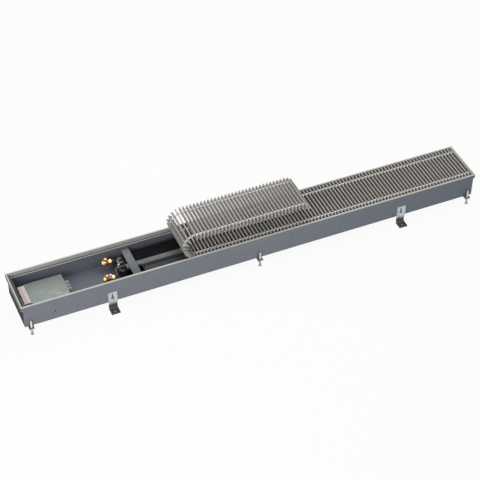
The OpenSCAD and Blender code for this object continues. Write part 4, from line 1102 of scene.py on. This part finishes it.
@dataclass
class Exchanger(Assembly):
    """Dense fin pack, tube bends and pipes of the heat exchanger."""

    first: float = -0.5545
    last: float = 0.9281
    fin_sheet: float = 0.0004
    fin_pitch: float = 0.003
    fin_low: Pair = (0.0075, 0.0515)
    fin_high: Pair = (0.0835, 0.1015)
    ripple: float = 0.0005
    waves: int = 16
    tube_radius: float = 0.006
    tube_bore: float = 0.0052
    tube_steps: int = 28
    pipe_steps: int = 32
    bend_steps: int = 20
    socket_runs: tuple[float, ...] = (-0.0005, 0.0, 0.0045, 0.005)
    socket_radius: float = 0.0065
    socket_bore: float = 0.0056
    columns: tuple[float, ...] = (0.0215, 0.0455, 0.0695)
    rows: Pair = (0.064, 0.089)
    near_end: float = -0.568
    far_end: float = 0.9455
    supply_end: Point = (-0.608, 0.0695, 0.089)
    return_end: Point = (-0.623, -0.0125, 0.076)
    supply_lead: float = 0.01
    return_lead: float = 0.025
    pipe_bend: float = 0.012

    def _fins(self) -> None:
        """Makes the rippled fins, each a thin sheet."""
        fins, sheet = Shape(), self.fin_sheet
        run = self.last - self.first - sheet
        count = int(run / self.fin_pitch)
        (y0, z0), (y1, z1) = self.fin_low, self.fin_high
        for k in range(count + 1):
            middle = self.first + self.ripple + k * (run - 2 * self.ripple) / count
            rings = []
            for i in range(self.waves + 1):
                x = middle + (self.ripple if i % 2 else -self.ripple) * (0 < i < self.waves)
                y = y0 + (y1 - y0) * i / self.waves
                rings.append([Vector((x + dx, y, z))
                              for dx, z in ((0, z0), (0, z1), (sheet, z1), (sheet, z0))])
            fins.lofted(rings)
        self.bench.finish(fins, "fin_pack", "black_fins", stands_for=("exchanger_fins",), sharp=10)

    def _socket(self, shape: Shape, end: Vector, ahead: Vector) -> None:
        """Adds the widened ring where a bend is soldered to a tube."""
        shape.tube([end + ahead * run for run in self.socket_runs], self.socket_radius,
                   self.tube_steps, self.socket_bore)

    def _bend(self, shape: Shape, middle: Vector, side: Vector, out: Vector) -> None:
        """Adds a half-round bend with its two sockets.

        Args:
            shape: the shape that it is added to.
            middle: the point between the ends of the tubes that it joins.
            side: from there to one of the ends.
            out: the way that the bend bulges.
        """
        shape.tube(arc(middle, -side, out * side.length, TURN / 2, self.bend_steps),
                   self.tube_radius, self.tube_steps, self.tube_bore)
        for end in (middle - side, middle + side):
            self._socket(shape, end, -out)

    def _pipe(self, name: str, start: Vector, end: Vector, lead: float) -> None:
        """Makes a pipe that runs to -X and steps aside with two bends.

        Args:
            name: the pipe's name.
            start: where it leaves the exchanger.
            end: where it ends.
            lead: its straight run before the first bend.
        """
        offset = Vector((0.0, *(end - start).yz))
        side, bend = offset.normalized() * self.pipe_bend, LEFT * self.pipe_bend
        first = start + LEFT * lead + side
        second = start + LEFT * lead + 2 * bend + offset - side
        shape = Shape()
        shape.tube([start] + arc(first, -side, bend) + arc(second, -bend, side) + [end],
                   self.tube_radius, self.pipe_steps, self.tube_bore)
        self._socket(shape, start, RIGHT)
        self.bench.finish(shape, f"bent_{name}", "pipe", stands_for=(name,))

    def build(self) -> None:
        """Makes the fins, the bends and both pipes."""
        self._fins()
        bends, (a, b, c), (low, high) = Shape(), self.columns, self.rows
        for y, z in (((b + c) / 2, high), ((a + b) / 2, low)):
            self._bend(bends, Vector((self.near_end, y, z)), Vector((0, (b - a) / 2, 0)), LEFT)
        for y in self.columns:
            middle = Vector((self.far_end, y, (low + high) / 2))
            self._bend(bends, middle, UP * (high - low) / 2, RIGHT)
        self.bench.finish(bends, "tube_bends", "black_tube", stands_for=("return_bends",))
        self._pipe("supply_pipe", Vector((self.near_end, c, low)), Vector(self.supply_end),
                   self.supply_lead)
        self._pipe("return_pipe", Vector((self.near_end, a, high)), Vector(self.return_end),
                   self.return_lead)


@dataclass
class ValveSet(Assembly):
    """One brass valve with its union nut and cap."""

    name: str
    place: Point
    arm_end: float
    up: float
    stem: float
    cap_radius: float
    socket: Outline = ((0.0075, -0.005), (0.0075, -0.017), (0.0095, -0.017), (0.0095, -0.0115))
    socket_floor: Outline = ((0.0, -0.0052), (0.0075, -0.005))
    socket_hexagon: Hexagon = (0.024, -0.0168, -0.009)
    ball_radius: float = 0.014
    ball_start: float = -0.9
    ball_sweep: float = 1.83
    ball_steps: int = 16
    arm: Outline = ((0.008, 0.0118), (0.008, 0.0128))
    arm_flange: Outline = ((0.008, -0.009), (0.009, -0.009), (0.009, 0.0))
    arm_bore: float = 0.0052
    barrel: Outline = ((0.0, -0.015), (0.0072, -0.015), (0.0094, -0.0138), (0.0108, -0.011),
                       (0.0122, -0.006), (0.0122, 0.005))
    shoulder: Outline = ((0.0112, -0.003), (0.0098, -0.0008), (0.0092, 0.0), (0.0, 0.0))
    collar: float = 0.003
    collar_flats: float = 0.018
    stem_radius: float = 0.004
    cap_bore: float = 0.00405
    cap_gap: float = 0.0003
    cap_top: float = 0.002
    nut_hexagon: Hexagon = (0.024, -0.009, 0.0032)
    nut: Outline = ((0.0105, 0.0024), (0.0105, 0.0034), (0.0085, 0.005), (0.0062, 0.005))

    def _casting(self) -> None:
        """Makes the cast body with its socket, barrel and arm."""
        casting, reach, top = Shape(), self.arm_end - self.place[0], self.up + self.collar
        flow, upright = along("+X", self.place), along("+Z", self.place)
        ball = [(self.ball_radius * math.cos(t), self.ball_radius * math.sin(t))
                for t in (self.ball_start + self.ball_sweep * k / self.ball_steps
                          for k in range(self.ball_steps + 1))]
        arm = rounded([*self.arm, *lifted(self.arm_flange, reach)], 0.0005)
        casting.turned(rounded(self.socket, 0.0008) + ball + arm + [(self.arm_bore, reach)],
                       flow, 48)
        casting.turned(self.socket_floor, flow, 48)
        casting.prism(*self.socket_hexagon, flow, chamfer=0.0016)
        casting.turned([*self.barrel, *lifted(self.shoulder, self.up)], upright, 48,
                       soft=0.0015)
        casting.prism(self.collar_flats, self.up, top, upright, chamfer=0.0008)
        casting.turned([(self.stem_radius, self.up), (self.stem_radius, top + self.stem),
                        (0.0, top + self.stem)], upright, 28)
        self.bench.finish(casting, f"{self.name}_valve_casting", "brass",
                          stands_for=(f"{self.name}_valve",))

    def _nut(self) -> None:
        """Makes the union nut at the arm's end."""
        nut = Shape()
        place = along("+X", (self.arm_end, *self.place[1:]))
        nut.prism(*self.nut_hexagon, place, chamfer=0.0012)
        nut.turned(self.nut, place, 40, soft=0.0008)
        self.bench.finish(nut, f"{self.name}_union_nut", "brass_nut",
                          stands_for=("union_nuts",) if self.name == "supply" else ())

    def _cap(self) -> None:
        """Makes the cap, domed at its top and fluted for grip."""
        cap, r, low = Shape(), self.cap_radius, self.up + self.collar + self.cap_gap
        high = low + self.stem + self.cap_top
        cap.turned([(self.cap_bore, high - self.cap_top), (self.cap_bore, low), (r - 0.0004, low),
                    (r, low + 0.0006), (r, high - 0.0026), (r - 0.0016, high - 0.0006),
                    (r - 0.004, high), (0.0, high)],
                   along("+Z", self.place), 96, soft=0.0012, flutes=12, depth=0.0012)
        self.bench.finish(cap, f"{self.name}_cap", "brass_cap", f"{self.name}_cap",
                          (f"{self.name}_valve_cap",))

    def build(self) -> None:
        """Makes the valve, its nut and its cap."""
        self._casting()
        self._nut()
        self._cap()


@dataclass
class Vents(Assembly):
    """Nipples with hexagons, and the slotted screw of one."""

    vent: Point = (-0.588, 0.0215, 0.095)
    drain: Point = (-0.636, -0.0125, 0.084)
    seat: Outline = ((0.0052, -0.001), (0.0052, 0.001), (0.004, 0.002), (0.004, 0.0062),
                     (0.0048, 0.0068), (0.0048, 0.008), (0.0, 0.008))
    hexagon: Hexagon = (0.01, 0.0075, 0.0118)
    plug: Outline = ((0.0, 0.0116), (0.003, 0.0116), (0.003, 0.0126), (0.0, 0.013))
    pin: Outline = ((0.0, 0.0063), (0.00195, 0.0063), (0.00195, 0.0123), (0.0028, 0.0123),
                    (0.003, 0.0125), (0.003, 0.0135), (0.0, 0.0135))
    pin_slot: ScrewSlot = (0.003, 0.0135, 0.0148, 0.0008)

    def _nipple(self, name: str, point: Point, slot: str, closed: bool) -> None:
        """Makes a nipple.

        Args:
            name: the piece's name.
            point: where it stands.
            slot: the finish that it takes.
            closed: whether it has a plug, and stands for the seats of both.
        """
        nipple, place = Shape(), along("+Z", point)
        nipple.turned(self.seat, place, 32, soft=0.0005)
        nipple.prism(*self.hexagon, place, chamfer=0.0008)
        if closed:
            nipple.turned(self.plug, place, 28, soft=0.0005)
        self.bench.finish(nipple, name, slot, stands_for=("vent_seats",) if closed else ())

    def build(self) -> None:
        """Makes the nipples and the vent's screw."""
        self._nipple("vent_nipple", self.vent, "brass_nut", False)
        self._nipple("drain_nipple", self.drain, "nickel", True)
        pin, place = Shape(), along("+Z", self.vent)
        pin.turned(self.pin, place, 28)
        pin.slotted(*self.pin_slot, place)
        self.bench.finish(pin, "vent_pin_head", "nickel_screw", "vent_pin", ("vent_screw",))


@dataclass
class Controls(Assembly):
    """Lid, screws, glands and terminals of the control box."""

    lid_low: Point = (-0.9855, -0.0455, 0.0823)
    lid_high: Point = (-0.8225, 0.0795, 0.0915)
    sheet: float = 0.0012
    screw_xs: Pair = (-0.975, -0.833)
    screw_ys: Pair = (-0.035, 0.069)
    screw: Outline = ((0.0, -0.006), (0.0015, -0.006), (0.0015, 0.0), (0.0032, 0.0),
                      (0.0032, 0.0005), (0.0027, 0.0011), (0.0, 0.0011))
    screw_cross: ScrewSlot = (0.0024, 0.0008, 0.0016, 0.0007)
    gland_x: float = -0.824
    gland_ys: tuple[float, ...] = (0.0, 0.02, 0.04)
    gland_z: float = 0.0715
    gland_hexagon: Hexagon = (0.018, 0.0001, 0.008)
    gland: Outline = ((0.0036, 0.004), (0.0036, 0.0218), (0.0052, 0.022), (0.0063, 0.0205),
                      (0.0078, 0.0165), (0.008, 0.0082), (0.0072, 0.008))
    seal: Outline = ((0.0035, 0.014), (0.0035, 0.0208), (0.0022, 0.0202), (0.0, 0.0198))
    terminal_low: Point = (-1.014, -0.034, 0.0415)
    terminal_high: Point = (-0.986, 0.072, 0.0925)
    terminal_count: int = 10
    terminal_wall: float = 0.002
    terminal_lug: float = 0.007
    terminal_depth: float = 0.012
    terminal_gap: float = 0.0003
    terminal_lap: float = 0.0002
    well_inset: float = 0.008
    well_radius: float = 0.0024
    well_depth: float = 0.004
    pin: Outline = ((0.0021, 0.0), (0.0022, 0.0012), (0.0, 0.0012))
    pin_slot: ScrewSlot = (0.0022, 0.0012, 0.0022, 0.0006)
    port: Outline = ((0.0038, -0.001), (0.0038, 0.0008), (0.0028, 0.0008), (0.0022, -0.0002))
    port_floor: Outline = ((0.0023, -0.0002), (0.0, 0.0))

    def _lid(self) -> None:
        """Makes the lid and its cross-slotted screws."""
        lid, screws = Shape(), Shape()
        lid.tray(self.lid_low, self.lid_high, self.sheet)
        self.bench.finish(lid, "folded_lid", "cover_sheet", stands_for=("control_cover",))
        for place in (along("+Z", (x, y, self.lid_high[2]))
                      for x in self.screw_xs for y in self.screw_ys):
            screws.turned(self.screw, place, 28, soft=0.0005)
            screws.slotted(*self.screw_cross, place, True)
        self.bench.finish(screws, "lid_screws", "screw_steel", stands_for=("cover_screws",))

    def _glands(self) -> None:
        """Makes the glands' hexagons and ribbed domes, and the rubber in them."""
        glands, seals = Shape(), Shape()
        for place in (along("+X", (self.gland_x, y, self.gland_z)) for y in self.gland_ys):
            glands.prism(*self.gland_hexagon, place, chamfer=0.0008)
            glands.turned(self.gland, place, 72, soft=0.0014, flutes=18, depth=0.0005)
            seals.turned(self.seal, place, 28, soft=0.0005)
        self.bench.finish(glands, "gland_bodies", "gland_plastic", stands_for=("cable_glands",))
        self.bench.finish(seals, "gland_seals", "pad_rubber")

    def _terminals(self) -> None:
        """Makes the terminal modules with their wells, screws and wire ports."""
        (x0, y0, z0), (x1, y1, z1) = self.terminal_low, self.terminal_high
        wall, lug, gap = self.terminal_wall, self.terminal_lug, self.terminal_gap
        floor = z1 - self.terminal_depth
        step = (y1 - y0 - 2 * wall) / self.terminal_count
        modules, screws, ports = Shape(), Shape(), Shape()
        modules.block((x0, y0, z0), (x1, y1, floor + self.terminal_lap), edge=0.0008)
        for low, high in (((x0, y1 - wall), (x1, y1)), ((x0, y0), (x0 + lug, y0 + wall)),
                          ((x1 - lug, y0), (x1, y0 + wall))):
            modules.block((*low, floor), (*high, z1), edge=0.0005)
        for low in (y0 + wall + k * step for k in range(self.terminal_count)):
            middle = (x0 + self.well_inset, low + step / 2)
            modules.well((x0, low + gap, floor), (x1, low + step - gap, z1), middle,
                         self.well_radius, self.well_depth)
            place = along("+Z", (*middle, z1 - self.well_depth))
            screws.turned(self.pin, place, 24)
            screws.slotted(*self.pin_slot, place)
            face = along("-X", (x0, low + step / 2, (z0 + z1) / 2))
            modules.turned(self.port, face, 28, soft=0.0004)
            ports.turned(self.port_floor, face, 28)
        self.bench.finish(modules, "terminal_modules", "terminal_plastic",
                          stands_for=("terminal_block",))
        self.bench.finish(screws, "terminal_screws", "screw_steel")
        self.bench.finish(ports, "terminal_ports", "pad_rubber")

    def build(self) -> None:
        """Makes the lid and what is fixed to the box."""
        self._lid()
        self._glands()
        self._terminals()


@dataclass(frozen=True)
class BarProfile:
    """Cross-section and length of a grille bar."""

    length: float = 0.2
    width: float = 0.005
    height: float = 0.018
    edge: float = 0.0012
    foot: float = 0.0003
    steps: int = 5

    def outline(self) -> Outline:
        """Gives the cross-section, its upper edges rounded.

        Returns:
            The outline's points.
        """
        w, h, r, f = self.width / 2, self.height / 2, self.edge, self.foot
        points = [(w - f, -h), (w, -h + f)]
        for side, first in ((1.0, 0.0), (-1.0, TURN / 4)):
            for t in (first + TURN / 4 * k / self.steps for k in range(self.steps + 1)):
                points.append((side * (w - r) + r * math.cos(t), h - r + r * math.sin(t)))
        return points + [(-w, -h + f), (-w + f, -h)]

    def add(self, shape: Shape, place: Matrix) -> None:
        """Adds a bar along Y to a shape, its middle at a place and its round edges to local Z."""
        shape.extruded(self.outline(), -self.length / 2, self.length / 2,
                       place @ Matrix.Rotation(TURN / 4, 4, "X"))


@dataclass
class Fold(Assembly):
    """The bars of the grille's turn, each with its own spacer sleeves."""

    bar: BarProfile = BarProfile()
    axis: Point = (-0.2802, 0.0, 0.1943)
    radius: float = 0.0513
    count: int = 8
    link_y: float = 0.076
    sleeve: Outline = ((0.002, 0.0), (0.002, 0.0028), (0.003, 0.0028), (0.0045, 0.0043),
                       (0.0045, 0.00654), (0.003, 0.00804), (0.0, 0.00804))

    def build(self) -> None:
        """Makes each bar of the turn and its sleeves."""
        for k in range(1, self.count + 1):
            turn = (Matrix.Translation(self.axis)
                    @ Matrix.Rotation(k * TURN / 2 / (self.count + 1), 4, "Y")
                    @ Matrix.Translation((0, 0, -self.radius)))
            bar, sleeves = Shape(), Shape()
            self.bar.add(bar, turn)
            self.bench.finish(bar, f"turn_bar_{k}", "bar_aluminium", f"fold_{k}",
                              (f"fold_bar_{k}",))
            for y in (-self.link_y, self.link_y):
                for axis in ("+X", "-X"):
                    sleeves.turned(self.sleeve, turn @ along(axis, (0.0, y, 0.0)), 28,
                                   soft=0.0007)
            self.bench.finish(sleeves, f"turn_sleeves_{k}", "link_sleeve", f"fold_{k}")


@dataclass
class Flap(Assembly):
    """The flap's bars, which hang from their links and lean a little."""

    bar: BarProfile = BarProfile()
    start: Point = (-0.2802, 0.0, 0.2453)
    pitch: float = 0.0161
    count: int = 31
    lean: float = 10.0
    lean_bars: int = 4
    droop_count: int = 2
    droop_step: float = 22.5

    def build(self) -> None:
        """Makes the bars of the flat run and of the drooping end."""
        bars, over, start = Shape(), 180.0, Matrix.Translation(self.start)
        for k in range(self.count):
            lean = self.lean * min(1.0, k / self.lean_bars)
            self.bar.add(bars, start @ Matrix.Translation((k * self.pitch, 0, 0))
                         @ Matrix.Rotation(math.radians(over + lean), 4, "Y"))
        reach = self.pitch / 2 / math.sin(math.radians(self.droop_step) / 2)
        middle = start @ Matrix.Translation(((self.count - 1) * self.pitch, 0, -reach))
        for k in range(1, self.droop_count + 1):
            self.bar.add(bars, middle
                         @ Matrix.Rotation(math.radians(over + k * self.droop_step), 4, "Y")
                         @ Matrix.Translation((0, 0, -reach)))
        self.bench.finish(bars, "flap_profiles", "bar_aluminium", "flap", ("flap_bars",))


def main() -> None:
    """Builds the scene in order and notes how many pieces were made."""
    logging.basicConfig(level=logging.INFO, format="%(message)s")
    Camera().place()
    Studio().build()
    workshop = Workshop()
    workshop.dress_solids()
    bench = Bench(workshop)
    for assembly in (
            TrenchBody(bench), Mounting(bench), Exchanger(bench),
            ValveSet(bench, "supply", place=(-0.63, 0.0695, 0.089), arm_end=-0.608,
                     up=0.013, stem=0.008, cap_radius=0.0084),
            ValveSet(bench, "return", place=(-0.652, -0.0125, 0.076), arm_end=-0.623,
                     up=0.012, stem=0.006, cap_radius=0.0074),
            Vents(bench), Controls(bench), Fold(bench), Flap(bench)):
        assembly.build()
    log.info("pieces made: %d", bench.count)


if __name__ == "__main__":
    main()
